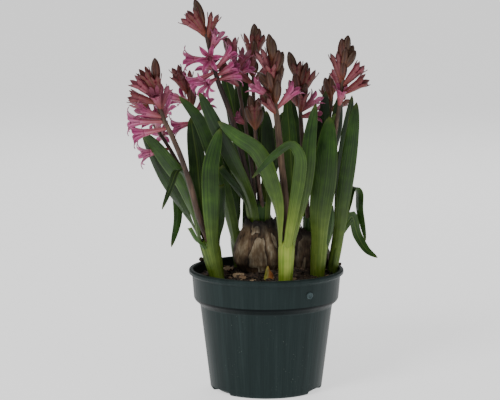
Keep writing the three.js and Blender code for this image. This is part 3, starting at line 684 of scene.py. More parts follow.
def bulb_material(name, bulb, dark):
    """Papery skin: broad torn layers with dark edges and fine fibres, blacker towards the neck."""
    material, tree, shader = new_material(name, Roughness=0.75, Specular_IOR_Level=0.3)
    place = object_place(tree)
    leaning = node(tree, "Mapping", {"Vector": place, "Rotation": (0.3, 0.95, 0.0),
                                     "Scale": (105.0, 60.0, 34.0)}).outputs["Vector"]
    layer = maths(tree, "FRACT", times(tree, noise(tree, leaning, 0.6, 2.0, 0.9), 4.5))
    fibre = noise(tree, leaning, 6.0, 6.0, 0.45)
    both = weighed(tree, (layer, 0.5), (fibre, 0.7))
    colour = ramp(tree, both, [(0.22, rgb(18, 13, 10)), (0.34, rgb(62, 48, 35)), (0.5, rgb(104, 82, 60)),
                               (0.66, rgb(128, 108, 82)), (0.84, rgb(164, 148, 122)),
                               (0.98, rgb(200, 190, 168))])
    stain = ramp(tree, noise(tree, place, 42.0, 3.0), [(0.42, rgb(70, 60, 52)), (0.6, WHITE)])
    stained = blend(tree, 0.85, colour, stain, "MULTIPLY")
    height = node(tree, "SeparateXYZ", {"Vector": place}).outputs["Z"]
    near_neck = past(tree, height, (neck_top(bulb) - 8) * MM, 1 / (6 * MM))
    shaded = tinted(tree, stained, rgb(14, 10, 9), near_neck, 0.95)
    # Painted shade: the whole skin is darkened by the share given for the bulb.
    painted(tree, shader, blend(tree, dark, shaded, rgb(34, 24, 20)))
    bumped(tree, shader, both, 0.8, 0.0011)
    return material


for place, bulb in BULBS.items():
    skin = bulb_material("bulb_skin_" + place, bulb, BULB_PAINTED_SHADE[place])
    skin_grids = [bulb_grid(bulb)] + shred_grids(bulb)
    add_piece("bulb_" + place + "_skin", ["bulb_" + place], [skin], skin_grids)

# Sprout: a young shoot tip just through the soil, three yellow-green scales wrapped in one
# another, dry and orange-brown on the right.
SHOOT_FLOOR = 82.0
SPROUT_AT = (1.5, -19.0)
SPROUT_RADIUS = 4.7
SPROUT_HEIGHT = 16.0
# Each scale's share of the height, its share of the width, and its lean.
SCALES = ((1.0, 0.62, -0.5), (0.86, 0.9, 0.9), (0.66, 0.98, 0.2))


def sprout_grids():
    """Three nested pointed scales.

    radius = widest x sin(pi x share^0.7)^0.6, with seven low ribs round it.
    """
    share = np.linspace(0.02, 1, 24)[:, None]
    turn = circle(32)
    grids = []
    for tall, wide, lean in SCALES:
        radius = SPROUT_RADIUS * wide * np.maximum(np.sin(np.pi * share ** 0.7), 0) ** 0.6
        radius = radius * (1 + 0.05 * np.cos(7 * turn + lean))
        height = SPROUT_HEIGHT * tall * share * (1 + 0.06 * np.cos(turn + 3 * lean) * share)
        grid = polar(radius, turn, height)
        grid[..., 0] += lean * share
        grid[..., 1] -= 0.3 * lean * share
        grids.append(capped(grid + [*SPROUT_AT, SHOOT_FLOOR + CLEARANCE]))
    return grids


def sprout_material():
    """Yellow-green on the left, orange-brown on the right where it has dried, with upright veins."""
    material, tree, shader = new_material("sprout_scale", Roughness=0.5)
    place = object_place(tree)
    vein = noise(tree, stretched(tree, (700.0, 700.0, 60.0)), 1.0, 3.0)
    patch = noise(tree, place, 160.0, 2.0)
    mixed = weighed(tree, (vein, 0.45), (patch, 0.55))
    brown = ramp(tree, mixed, [(0.34, rgb(70, 38, 16)), (0.5, rgb(146, 82, 28)), (0.66, rgb(176, 112, 46))])
    green = ramp(tree, mixed, [(0.34, rgb(92, 88, 24)), (0.5, rgb(146, 144, 48)), (0.66, rgb(178, 172, 80))])
    beside = node(tree, "SeparateXYZ", {"Vector": place}).outputs["X"]
    right = times(tree, maths(tree, "SUBTRACT", beside, (SPROUT_AT[0] - 0.5) * MM), 420.0)
    right = maths(tree, "ADD", right, times(tree, patch, 0.6), clamp=True)
    painted(tree, shader, blend(tree, right, green, brown))
    bumped(tree, shader, vein, 0.4, 0.0003)
    return material


add_piece("sprout_tip", ["sprout"], [sprout_material()], sprout_grids())

# Leaves: fleshy, channelled blades in loose rosettes, dark green with a pale yellow-green foot. Each
# grows from a bulb's neck or up through the soil, out of the closed round foot that it shares with
# the other leaves and the stems of its shoot.
NECK_DEPTH = 6.0


def neck_floor(bulb):
    """Where the shoot of a bulb starts, below the top of the bulb's neck."""
    return neck_top(bulb) - NECK_DEPTH


# A shoot's pieces stand in a ring on its floor and pass through a wider ring at its collar.
SHOOTS = {
    "left": {"at": (-36, -15), "floor": SHOOT_FLOOR, "ring": 4.9, "collar": (-43, -13, 113), "spread": 8},
    "back": {"at": (-19, 37), "floor": SHOOT_FLOOR, "ring": 5, "collar": (-21, 35, 112), "spread": 7},
    "front": {"at": (14, -40), "floor": SHOOT_FLOOR, "ring": 4.6, "collar": (15, -38, 116), "spread": 5.8},
    "wide": {"at": (38.8, -7), "floor": SHOOT_FLOOR, "ring": 5.2, "collar": (40.6, -6, 112), "spread": 6.8},
    "edge": {"at": (49.5, 5), "floor": SHOOT_FLOOR, "ring": 3.4, "collar": (55, 7, 112), "spread": 4.8},
    "centre": {"at": BULBS["centre"]["at"], "floor": neck_floor(BULBS["centre"]), "ring": 8.4,
               "collar": (-6, 13.5, 141), "spread": 10},
    "right": {"at": BULBS["right"]["at"], "floor": neck_floor(BULBS["right"]), "ring": 6.2,
              "collar": (36, 21, 130), "spread": 8},
}
# How pale the leaves of each shoot are near the foot, and how much wider than its ring its closed
# foot is. The closed feet take their colour from the lowest part of the leaf's, up to a small share.
PALENESS = {
    "front": 1.0, "wide": 0.6, "left": 0.35, "edge": 0.35, "centre": 0.3, "right": 0.3, "back": 0.2,
}
SHEATHS = {
    "front": 0.5, "wide": -0.2, "left": -0.3, "edge": -0.2, "back": -0.2, "centre": -1.4, "right": -0.8,
}
SHEATH_REACH = 1.2
SHEATH_COLOUR_SHARE = 0.16
CUT_TIPS = ("leaf_left_7", "leaf_left_8", "leaf_centre_1")
HOOKED_LEAF = "leaf_front_2"
HOOK_TWIST = 48
HOOK_NARROWING = 0.3
THICK_AT_FOOT = 1.8
THICK_AT_TIP = 1.0
CUP_AT_FOOT = 0.9
CUP_AT_TIP = 0.42
LEAST_HALF_WIDTH = 0.25
LEAF_ROWS = 56
LEAF_COLUMNS = 15
# Each leaf has a direction, half widths at the foot and at the widest, a twist and a path.
LEAVES = {
    "left": [
        (290, 4.4, 7, -14, [(-42, -25, 147), (-42, -25, 177), (-35, -20, 205)]),
        (173, 3.4, 7, 75, [(-62, -5, 155), (-77, -4.5, 178), (-95, -7.5, 201)]),
        (147, 3.2, 6, 90, [(-66, 9, 141), (-81, 13, 166), (-96, 16, 195)]),
        (198, 2.2, 4.2, 30,
         [(-56, -13, 150), (-62, -14, 168), (-67, -19, 172), (-72, -27, 161), (-79, -30, 144)]),
        (121, 1.2, 4, 50,
         [(-62, 13, 149), (-66, 17, 157), (-69, 20, 149), (-69, 17, 129), (-74, 13, 108)]),
        (95, 3.4, 7.4, -5, [(-51, 10, 147), (-54, 18, 177), (-59, 20, 209)]),
        (231, 1, 2.5, 0, [(-53, -24, 119), (-59, -26, 129)]),
        (30, 3.4, 4.4, -70, [(-34, -6, 136), (-34, -8, 160)]),
    ],
    "back": [
        (235, 5.4, 6.2, 30, [(-32, 22, 146), (-40, 13, 176), (-52, 5, 208), (-67, 2, 227)]),
        (170, 4, 5.6, 90, [(-25, 39, 133), (-32, 38, 159), (-38, 37, 187)]),
        (112, 2, 6.6, -20, [(-26, 62, 146), (-37, 72, 186), (-49, 76, 209)]),
        (55, 2, 6.6, 30, [(-12, 58, 147), (-6, 66, 186), (-2, 68, 214)]),
    ],
    "centre": [
        (208, 2.4, 3, 50, [(-23, 3, 156), (-36, 3, 172)]),
        (236, 4.8, 6.2, 30, [(-19, -6, 163), (-30, -13, 187), (-42, -20, 213), (-51, -21, 232)]),
        (180, 3.6, 5.8, 80, [(-14, 17, 165), (-20, 19, 186), (-27, 21, 211)]),
        (140, 3.6, 6.6, -50, [(-14, 32, 184), (-19, 43, 223), (-17, 49, 256)]),
        (335, 4.6, 5.8, -60, [(4, 13, 160), (2, 13, 184), (0, 12, 215)]),
        (112, 1.9, 6, -20, [(-20, 43, 182), (-28, 54, 221), (-35, 60, 246)]),
        (62, 4.2, 6.4, 25, [(7, 38, 181), (14, 46, 211)]),
    ],
    "front": [
        (190, 3, 7.8, 50,
         [(8, -42, 144), (2, -41, 168), (-9, -38, 190), (-24, -34, 200), (-37, -30, 211)]),
        (275, 3.3, 5.2, -20,
         [(20, -46, 146), (24, -49, 173), (24, -52, 187), (18, -56, 196), (7, -59, 190), (-11, -61, 172)]),
        (355, 3.2, 6, -80, [(27, -33, 148), (31, -31, 178), (33, -29, 201), (37, -26, 224)]),
        (75, 3.6, 6.2, 20, [(19, -26, 151), (18, -20, 188), (15, -13, 229)]),
    ],
    "wide": [
        (266, 6.2, 9.6, 5, [(41, -19, 140), (44, -20, 165), (46, -18, 189), (48, -13, 213)]),
        (90, 3.4, 7, 0, [(42, 3, 154), (45, 3, 185), (53, 1, 214)]),
        (5, 1.4, 2.8, -70, [(50, -9, 130), (51, -9, 144)]),
    ],
    "right": [
        (300, 4, 6, -20, [(41, 14, 165), (44, 14, 200), (46, 15, 230)]),
        (350, 1.9, 5.8, -60, [(47, 21, 167), (54, 18, 199), (57, 11, 228)]),
        (82, 1.9, 6.6, 0, [(39, 42, 157), (42, 54, 188), (45, 60, 209)]),
        (128, 4, 6.6, -30, [(26, 36, 166), (21, 44, 201), (20, 47, 222)]),
        (38, 1.9, 5.6, 30, [(52, 36, 158), (64, 46, 181), (73, 52, 188)]),
    ],
    "edge": [
        (276, 4.4, 6.2, 0, [(59, -3, 144), (62, -5, 167), (66, -5, 198), (69, -3, 223)]),
        (146, 1.1, 5.4, -30, [(56, 12, 149), (60, 13, 184), (66, 11, 227)]),
        (36, 1.1, 4.6, 10, [(64, 14, 141), (68, 17, 154), (72, 21, 150), (73, 22, 134), (78, 20, 112)]),
        (90, 1.1, 4.8, 55, [(63, 22, 126), (67, 27, 130), (72, 30, 114), (79, 29, 103), (88, 27, 97)]),
    ],
}


def smoothstep(value, low, high):
    """From 0 at `low` to 1 at `high`, level at both: 3 share squared - 2 share cubed."""
    share = np.clip((value - low) / (high - low), 0, 1)
    return share * share * (3 - 2 * share)


def mix(first, second, share):
    """From the first value at share 0 to the second at share 1."""
    return first + (second - first) * share


def level(degrees):
    """The level direction at an angle round the upright axis."""
    return np.array([np.cos(np.radians(degrees)), np.sin(np.radians(degrees)), 0.0])


def smooth_path(points, outward, rows):
    """Even stations on a smooth line through the points, each with a frame carried without spin.

    Each span is a cubic whose slopes come from the neighbouring points, with spans counted by the
    square root of their length. Each frame turns the one before by the least turn that brings its
    heading to the new one, and the first heads straight up, because the foot is cut level.
    """
    given = np.array(points, float)
    line = np.concatenate([[2 * given[0] - given[1]], given, [2 * given[-1] - given[-2]]])
    count = np.sqrt(np.linalg.norm(np.diff(line, axis=0), axis=1))[:, None]
    before, start, end, after = line[:-3], line[1:-2], line[2:-1], line[3:]
    first, middle, last = count[:-2], count[1:-1], count[2:]
    chord = (end - start) / middle
    leave = middle * ((start - before) / first - (end - before) / (first + middle) + chord)
    arrive = middle * (chord - (after - start) / (middle + last) + (after - end) / last)
    share = np.linspace(0, 1, 60, endpoint=False)[:, None, None]
    spans = start + leave * share + (3 * (end - start) - 2 * leave - arrive) * share ** 2
    spans = spans + (2 * (start - end) + leave + arrive) * share ** 3
    dense = np.concatenate([spans.transpose(1, 0, 2).reshape(-1, 3), given[-1:]])
    run = np.concatenate([[0], np.cumsum(np.linalg.norm(np.diff(dense, axis=0), axis=1))])
    slope = np.gradient(dense, run, axis=0)
    even = np.linspace(0, run[-1], rows)
    at = read_off(even, run, dense)
    heading = unit(read_off(even, run, slope))
    heading[0] = (0, 0, 1)
    normals = [np.array(outward, float)]
    for old, new in zip(heading[:-1], heading[1:]):
        normals.append(normals[-1] - (new @ normals[-1]) / (1 + old @ new) * (old + new))
    return at, heading, np.array(normals)


def draw_between(seed, low, high):
    """A random number between two limits, always the same for the same seed."""
    return np.random.default_rng(seed).uniform(low, high)


def even_values(grid, **given):
    """One array of point values for each name, each made the shape of the grid."""
    flat = np.ones(grid.shape[:2])
    return {key: np.broadcast_to(value, flat.shape) * flat for key, value in given.items()}


def ended(column, last=1):
    """A column of row values with one more at each end, for the rows that `capped` adds."""
    return np.concatenate([[[0]], column, [[last]]])


def leaf_shape(name, shoot_name, azimuth, foot, half, twist, points, seed):
    """A channelled blade carried along its path, and its point values.

    Across the blade, the back follows an arc of half angle `cup`, turned about the path by the
    twist, and the hollow face lies one thickness inside it, with a groove along the middle rib.
    The half width swells from foot to widest, then rounds off: width x (1 - taper^3.4)^0.62.
    """
    shoot = SHOOTS[shoot_name]
    start = np.array([*shoot["at"], shoot["floor"] + CLEARANCE]) + shoot["ring"] * level(azimuth)
    neck = np.array(shoot["collar"], float) + shoot["spread"] * level(azimuth)
    at, heading, normal = smooth_path([start, neck, *points], level(azimuth), LEAF_ROWS)
    along = np.linspace(0, 1, LEAF_ROWS)[:, None]
    hook = HOOK_TWIST * (name == HOOKED_LEAF)
    turn = np.radians(twist * smoothstep(along, 0.1, 0.7) + hook * smoothstep(along, 0.66, 0.84))
    across = np.cross(heading, normal)
    outward = normal * np.cos(turn) + across * np.sin(turn)
    across = np.cross(heading, outward)
    cup = mix(CUP_AT_FOOT, CUP_AT_TIP, smoothstep(along, 0, 0.5))
    width = mix(foot, half, smoothstep(along, 0.2, 0.6))
    taper = np.clip((along - 0.5) / 0.5, 0, 1) * (name not in CUT_TIPS)
    width = np.maximum(LEAST_HALF_WIDTH, width * (1 - taper ** 3.4) ** 0.62)
    width = width * (1 - HOOK_NARROWING * (name == HOOKED_LEAF) * smoothstep(along, 0.6, 0.8))
    side = np.linspace(-1, 1, LEAF_COLUMNS)
    bend = width / cup
    wave = np.sin(along * draw_between(seed, 16, 26) + seed) * np.abs(side) ** 3
    wave = wave * np.minimum(0.5, 0.07 * width)
    keel = 0.3 * np.exp(-(side / 0.14) ** 2)
    out = bend * (np.cos(side * cup) - 1) + wave
    back = at[:, None] + across[:, None] * (bend * np.sin(side * cup))[..., None]
    thick = mix(THICK_AT_FOOT, THICK_AT_TIP, along) * smoothstep(1.02 - along, 0, 0.06)
    depth = np.maximum(0.32, thick * (1 - 0.72 * side ** 2) - 0.35 * np.exp(-(side / 0.1) ** 2))
    face = back + outward[:, None] * (out - depth)[..., None]
    back = back + outward[:, None] * (out + keel * smoothstep(1 - along, 0, 0.2))[..., None]
    grid = capped(np.concatenate([back, face[:, ::-1]], axis=1))
    return grid, even_values(grid, along=ended(along), across=np.concatenate([side, side[::-1]]),
                             hollow=np.repeat([0.0, 1.0], LEAF_COLUMNS),
                             tone=draw_between(seed, 0, 1), pale=PALENESS[shoot_name])


def fading(tree, value, slope):
    """One less the value times a slope, kept from 0 to 1."""
    return maths(tree, "SUBTRACT", 1.0, times(tree, value, slope), clamp=True)


def leaf_material():
    """Leaf green from its own values: pale foot, deep green blade, fine veins and lighter rib."""
    material, tree, shader = new_material("leaf_skin", Specular_IOR_Level=0.3)
    along = attribute(tree, "along")
    across = attribute(tree, "across")
    tone = attribute(tree, "tone")
    veins_at = node(tree, "CombineXYZ", {"X": times(tree, across, 9.0), "Y": times(tree, along, 1.3),
                                         "Z": times(tree, tone, 40.0)}).outputs["Vector"]
    vein = noise(tree, veins_at, 1.6, 4.0)
    place = object_place(tree)
    mottle = noise(tree, place, 110.0, 5.0)
    blotch = noise(tree, place, 28.0, 2.0)
    mixed = weighed(tree, (vein, 0.5), (mottle, 0.3), (blotch, 0.2))
    mixed = maths(tree, "ADD", mixed, swing(tree, tone, 0.16))
    deep = ramp(tree, mixed, [(0.34, rgb(12, 28, 5)), (0.5, rgb(24, 52, 9)), (0.64, rgb(46, 82, 18)),
                              (0.78, rgb(80, 114, 34))])
    light = ramp(tree, mixed, [(0.34, rgb(76, 108, 22)), (0.5, rgb(120, 148, 40)), (0.7, rgb(172, 184, 84))])
    climb = maths(tree, "ADD", along, swing(tree, blotch, 0.3))
    foot = ramp(tree, climb, [(0.16, WHITE), (0.5, rgb(96, 96, 96)), (0.85, rgb(20, 20, 20))])
    green = blend(tree, times(tree, foot, attribute(tree, "pale"), clamp=True), deep, light)
    beside = maths(tree, "ABSOLUTE", across)
    rib = times(tree, fading(tree, beside, 7.0), attribute(tree, "hollow"))
    ribbed = tinted(tree, green, rgb(120, 146, 60), rib, 0.35)
    edged = tinted(tree, ribbed, rgb(112, 136, 56), past(tree, beside, 0.86, 6.0), 0.3)
    tipped = tinted(tree, edged, rgb(112, 118, 44), past(tree, along, 0.955, 22.0), 0.35)
    painted(tree, shader, tipped, maths(tree, "ADD", 0.32, times(tree, mottle, 0.24)))
    bumped(tree, shader, maths(tree, "ADD", vein, times(tree, mottle, 0.4)), 0.55, 0.0005)
    return material


def sheath_shape(shoot_name, out, seed):
    """The closed foot of a shoot: a round column from the floor through its collar, domed on top.

    The middle line runs straight from the floor through the collar, and the radius goes from `ring`
    to `spread` with it, both more by `out`, then closes over the last part of the height.
    """
    shoot = SHOOTS[shoot_name]
    share = np.linspace(0, SHEATH_REACH, 34)[:, None]
    turn = np.linspace(0.5 * np.pi, 2.5 * np.pi, 40, endpoint=False)
    foot = np.array([*shoot["at"], shoot["floor"] + CLEARANCE])
    middle = foot + (np.array(shoot["collar"]) - foot) * share
    radius = mix(shoot["ring"], shoot["spread"], np.minimum(share, 1)) + out
    radius = radius * (1 + 0.02 * np.sin(5 * turn + seed) * share)
    radius = radius * np.sqrt(np.maximum(0.01, 1 - np.clip((share - 0.95) / 0.25, 0, 1) ** 2))
    grid = capped(middle[:, None] + polar(radius, turn, 0))
    return grid, even_values(grid, along=SHEATH_COLOUR_SHARE * ended(share, SHEATH_REACH),
                             across=turn / np.pi - 1.5, hollow=0.0, tone=draw_between(seed, 0, 1),
                             pale=PALENESS[shoot_name] * (out > -0.5))


def leaf_names(shoot_name):
    """The nodes of a shoot's leaves, counted from one."""
    return [f"leaf_{shoot_name}_{place + 1}" for place in range(len(LEAVES[shoot_name]))]


def add_shapes(name, nodes, materials, shapes, shades=None):
    """One piece from pairs of a grid and its point values."""
    grids = [grid for grid, values in shapes]
    values = {key: [own[key] for grid, own in shapes] for key in shapes[0][1]}
    add_piece(name, nodes, materials, grids, values, shades)


leaf_skin = leaf_material()
for number, (shoot_name, out) in enumerate(SHEATHS.items()):
    column = sheath_shape(shoot_name, out, seed=50 + number)
    add_shapes(f"shoot_{shoot_name}_sheath", leaf_names(shoot_name), [leaf_skin], [column])
leaf_seed = 100
for shoot_name, leaves in LEAVES.items():
    for name, leaf in zip(leaf_names(shoot_name), leaves):
        blade = leaf_shape(name, shoot_name, *leaf, leaf_seed)
        add_shapes(name + "_blade", [name], [leaf_skin], [blade])
        leaf_seed += 1

# Flower spikes: a fleshy dark stem with six-lobed waxy florets set round it, the lowest open, pink
# and curled back, the highest still ribbed brown buds. Each stem grows out of the closed round foot
# of its shoot, and each floret's root sinks a little into the stem.
LOBES = 6
ROOT_SINK = 1.0
STEM_ROWS = 60
STATIONS = 9
BUD_BLOOM = 0.25
# A bud's radius at shares of its length.
BUD_OUTLINE = [
    (0, 0.9), (0.12, 1.2), (0.28, 2.4), (0.46, 3.2), (0.6, 3.3), (0.72, 3.1), (0.86, 2.35), (0.95, 1.5),
    (1, 0.5),
]
# The throat's radius and its share of a floret's length, barely open and fully open.
THROAT_RADIUS = (3.7, 2.9)
THROAT_SHARE = (0.74, 0.58)
# Each spike has a name, a stem radius, a stem tint and a path that starts on the floor of its shoot,
# then its florets: share of the way up the stem, direction, lean, length and bloom.
SPIKES = [
    ("spike_left_1", 2.7, 0.3,
     [(-36.5, -17, 0), (-43.5, -15.5, 113), (-52, -19, 138), (-58, -22, 162), (-65, -26, 184),
      (-72, -29, 201), (-78, -31, 214), (-82, -32, 227), (-82, -32, 238)],
     [(1.0, 10, 14, 22, 0.1), (0.93, 200, 30, 27, 0.42), (0.955, 235, 18, 25, 0.4),
      (0.94, 320, 14, 20, 0.36), (0.89, 275, 34, 21, 0.5), (0.915, 188, 54, 25, 0.38),
      (0.83, 184, 66, 35, 0.95), (0.85, 200, 48, 24, 0.6), (0.84, 80, 78, 24, 0.7),
      (0.795, 188, 76, 34, 0.9), (0.88, 60, 50, 22, 0.5), (0.82, 130, 75, 24, 0.8)]),
    ("spike_left_2", 2.1, 0.2,
     [(-36, -13, 0), (-43.5, -10.5, 113), (-54.5, -1, 144), (-64.5, 3, 168), (-75, 5, 187),
      (-81.5, 6, 197), (-88.5, 8, 208), (-93, 9, 219)],
     [(0.98, 60, 12, 15, 0.1), (0.95, 120, 35, 22, 0.35), (0.9, 40, 55, 22, 0.45),
      (0.86, 300, 60, 20, 0.6), (0.82, 90, 80, 22, 0.8), (0.75, 190, 72, 30, 1.0)]),
    ("spike_back", 1.9, 0.15,
     [(-19, 37, 0), (-22, 34, 112), (-29.5, 31, 141), (-38.5, 28.5, 165), (-50, 26, 194),
      (-57.5, 24, 215), (-61.5, 24, 229), (-65, 24, 238)],
     [(0.97, 195, 12, 17, 0.3), (0.93, 230, 20, 20, 0.42), (0.89, 186, 58, 25, 0.7),
      (0.79, 184, 84, 25, 0.9), (0.92, 60, 25, 20, 0.35), (0.86, 350, 20, 18, 0.2),
      (0.86, 120, 60, 22, 0.7), (0.83, 40, 75, 20, 0.8)]),
    ("spike_centre_1", 2.7, 0.0,
     [(-7.5, 11.5, 0), (-8, 10, 141), (-14, 3, 162), (-21.5, -3, 194), (-30, -5, 221), (-37.5, -7, 241),
      (-42.5, -8, 261), (-47, -8, 280)],
     [(1.0, 200, 5, 24, 0.1), (0.965, 185, 38, 24, 0.45), (0.965, 215, 22, 24, 0.42),
      (0.95, 160, 27, 22, 0.4), (0.945, 350, 30, 21, 0.42), (0.885, 330, 42, 20, 0.6),
      (0.855, 262, 80, 19, 1.1), (0.85, 190, 72, 27, 1.0), (0.79, 187, 98, 27, 0.8),
      (0.75, 8, 92, 22, 0.8), (0.8, 10, 62, 26, 1.0), (0.77, 350, 76, 22, 0.7),
      (0.76, 225, 95, 21, 1.0), (0.9, 80, 55, 22, 0.6), (0.8, 110, 80, 22, 0.9)]),
    ("spike_centre_2", 2, 0.15,
     [(-8, 16.5, 0), (-8.5, 14, 141), (-11, 12, 169.5), (-17, 13, 209), (-22, 14, 236.5), (-24, 14, 252)],
     [(1.0, 185, 14, 23, 0.25), (0.98, 270, 4, 23, 0.42), (0.95, 330, 40, 20, 0.55),
      (0.93, 350, 70, 16, 0.7), (0.92, 200, 50, 18, 0.42), (0.86, 235, 50, 18, 0.5),
      (0.9, 80, 50, 20, 0.6), (0.63, 185, 45, 12, 0.6)]),
    ("spike_centre_3", 2.1, 0.2,
     [(-4, 19, 0), (-5.5, 18.5, 141), (-6.5, 25, 167), (-9, 31, 206), (-10, 35, 234), (-9, 36, 261)],
     [(1.0, 185, 2, 21, 0.1), (0.99, 350, 8, 19, 0.1), (0.89, 200, 12, 29, 0.4),
      (0.95, 345, 16, 20, 0.35), (0.95, 90, 20, 20, 0.2), (0.85, 300, 14, 14, 0.1),
      (0.82, 10, 50, 22, 0.36), (0.8, 180, 50, 20, 0.36), (0.92, 260, 12, 20, 0.2),
      (0.86, 250, 25, 18, 0.3), (0.84, 100, 55, 22, 0.5)]),
    ("spike_centre_4", 1.8, 0.2,
     [(-2.5, 11, 0), (-3, 7, 141), (-6, 0, 163), (-8, -4, 186), (-9, -5, 206)],
     [(1.0, 180, 6, 24, 0.2), (1.0, 350, 10, 22, 0.1), (0.97, 280, 6, 20, 0.32),
      (0.96, 190, 18, 20, 0.1), (0.95, 355, 20, 18, 0.15)]),
    ("spike_front", 3.4, 0.45,
     [(14, -40, 0), (14.5, -36.5, 116), (14, -33, 151.5), (11, -31, 181), (8, -30, 211),
      (5, -30, 233.5), (5, -30, 254)],
     [(1.0, 185, 4, 24, 0.0), (1.0, 300, 5, 21, 0.1), (0.93, 195, 22, 26, 0.3),
      (0.9, 258, 18, 21, 0.42), (0.95, 340, 16, 21, 0.15), (0.94, 10, 26, 22, 0.2),
      (0.88, 175, 35, 20, 0.1), (0.84, 200, 48, 25, 0.6), (0.8, 350, 48, 27, 0.62),
      (0.86, 320, 22, 20, 0.15), (0.88, 5, 22, 23, 0.15), (0.96, 90, 15, 22, 0.1),
      (0.86, 250, 20, 22, 0.1), (0.82, 300, 25, 22, 0.1), (0.8, 200, 30, 22, 0.15),
      (0.9, 30, 15, 22, 0.1), (0.78, 230, 40, 20, 0.3), (0.88, 70, 40, 22, 0.3), (0.84, 130, 50, 22, 0.5)]),
    ("spike_right_1", 2.4, 0.25,
     [(32.5, 20.2, 0), (32.5, 17, 130), (31, 11, 153), (28.5, 7, 183.5), (26.5, 5, 210.5), (25, 5, 229),
      (23, 5, 240)],
     [(1.0, 190, 9, 23, 0.1), (0.92, 0, 20, 25, 0.1), (0.96, 290, 8, 19, 0.3),
      (0.88, 345, 30, 25, 0.34), (0.77, 340, 80, 18, 0.6), (0.82, 220, 15, 20, 0.24),
      (0.9, 240, 12, 20, 0.2), (0.84, 320, 22, 20, 0.15), (0.86, 190, 22, 20, 0.1),
      (0.8, 290, 30, 21, 0.3), (0.9, 80, 30, 22, 0.3), (0.82, 110, 55, 22, 0.5), (0.8, 30, 60, 22, 0.6)]),
    ("spike_right_2", 1.9, 0.3,
     [(35.5, 23.5, 0), (38, 24, 130), (42, 28, 150.5), (46, 31, 181), (51, 33, 216.5), (52, 33, 229)],
     [(0.95, 200, 8, 21, 0.1), (0.93, 190, 24, 20, 0.1), (0.97, 330, 8, 18, 0.1),
      (0.88, 120, 40, 20, 0.3), (0.86, 30, 50, 18, 0.4), (1.0, 80, 10, 18, 0.1)]),
    ("spike_wide", 2.4, 0.3,
     [(40, -7, 0), (42, -5.5, 112), (44.5, -5, 136.5), (49, -7, 176.5), (53, -9, 204), (56, -10, 223.5),
      (58, -11, 244.5), (58, -11, 255)],
     [(1.0, 0, 6, 21, 0.1), (0.98, 195, 10, 22, 0.1), (0.955, 275, 8, 20, 0.2),
      (0.96, 350, 28, 19, 0.1), (0.97, 20, 22, 20, 0.15), (0.9, 190, 20, 25, 0.32),
      (0.91, 240, 8, 18, 0.2), (0.885, 350, 36, 24, 0.38), (0.85, 340, 48, 25, 0.42),
      (0.8, 262, 18, 19, 0.6), (0.93, 90, 25, 21, 0.2), (0.86, 110, 50, 22, 0.45)]),
]


def stem_grid(spike_radius, at, heading, normal):
    """A round stem carried along its path, thinner at the foot and towards the top.

    radius = stem radius x taper x (1 + shallow ribs round it + swellings along it).
    """
    along = np.linspace(0, 1, len(at))[:, None]
    turn = circle(20)
    radius = spike_radius * mix(0.72, 1, smoothstep(along, 0.1, 0.4)) * mix(1, 0.6, along)
    radius = radius * (1 + 0.04 * np.cos(5 * turn + 3 * along) + 0.03 * np.sin(31 * along + np.cos(turn)))
    across = np.cross(heading, normal)
    ring = normal[:, None] * np.cos(turn)[:, None] + across[:, None] * np.sin(turn)[:, None]
    return capped(at[:, None] + radius[..., None] * ring)


def between_ribs(turn):
    """From 0 on each of the six ribs to 1 half way between two."""
    return 0.5 - 0.5 * np.cos(LOBES * turn)


def bud_shape(length, tone, bloom):
    """A closed bud: a pointed egg on a thin root, bowed a little to one side.

    radius = outline x (1 + six ribs, strongest half way up + a fine waver), and the bow grows with
    the reach squared.
    """
    reach = np.linspace(0, 1, 15)[:, None]
    turn = circle(36)
    heights, radii = zip(*BUD_OUTLINE)
    ribs = 0.09 * np.cos(LOBES * turn) * np.sin(np.pi * reach)
    radius = np.interp(reach, heights, radii) * (1 + ribs + 0.02 * np.sin(9 * reach + turn))
    bow = 1.2 * (tone - 0.5) * reach ** 2
    grid = polar(radius, turn, length * reach)
    grid[..., 0] += bow
    grid = capped(grid)
    return grid, even_values(grid, bloom=bloom, reach=ended(reach), rib=between_ribs(turn), inside=0.0,
                             tone=tone)


def tube_shape(length, flare, tone, bloom):
    """The tube of an opening floret: out from the root to the throat, and back in to its heart.

    radius = outline x (1 + six ribs x height share squared).
    """
    throat, height = mix(*THROAT_RADIUS, flare), mix(*THROAT_SHARE, flare) * length
    waist, heart = 0.3 * length, height - 2.5
    outline = np.array([(0.9, 0), (1.3, 0.12 * length), (mix(2.3, 1.7, flare), waist),
                        (mix(3.2, 2.3, flare), waist + 0.5 * (height - waist)), (throat, height),
                        (throat - 0.45, height + 0.15), (throat - 0.85, height - 0.3), (throat - 1.0, heart)])
    throat_corner = 4
    fine = np.linspace(0, len(outline) - 1, 20)
    shape = read_off(fine, np.arange(len(outline)), outline)
    sides = 24
    turn = circle(sides)
    grid = turned(shape, sides)
    grid[..., :2] *= (1 + 0.07 * np.cos(LOBES * turn) * (shape[:, 1:] / height) ** 2)[..., None]
    grid = capped(grid)
    inner = (fine[:, None] > throat_corner + 0.5) * 1.0
    return grid, even_values(grid, bloom=bloom, reach=ended(shape[:, 1:], heart) / length,
                             rib=between_ribs(turn), inside=ended(inner), tone=tone)


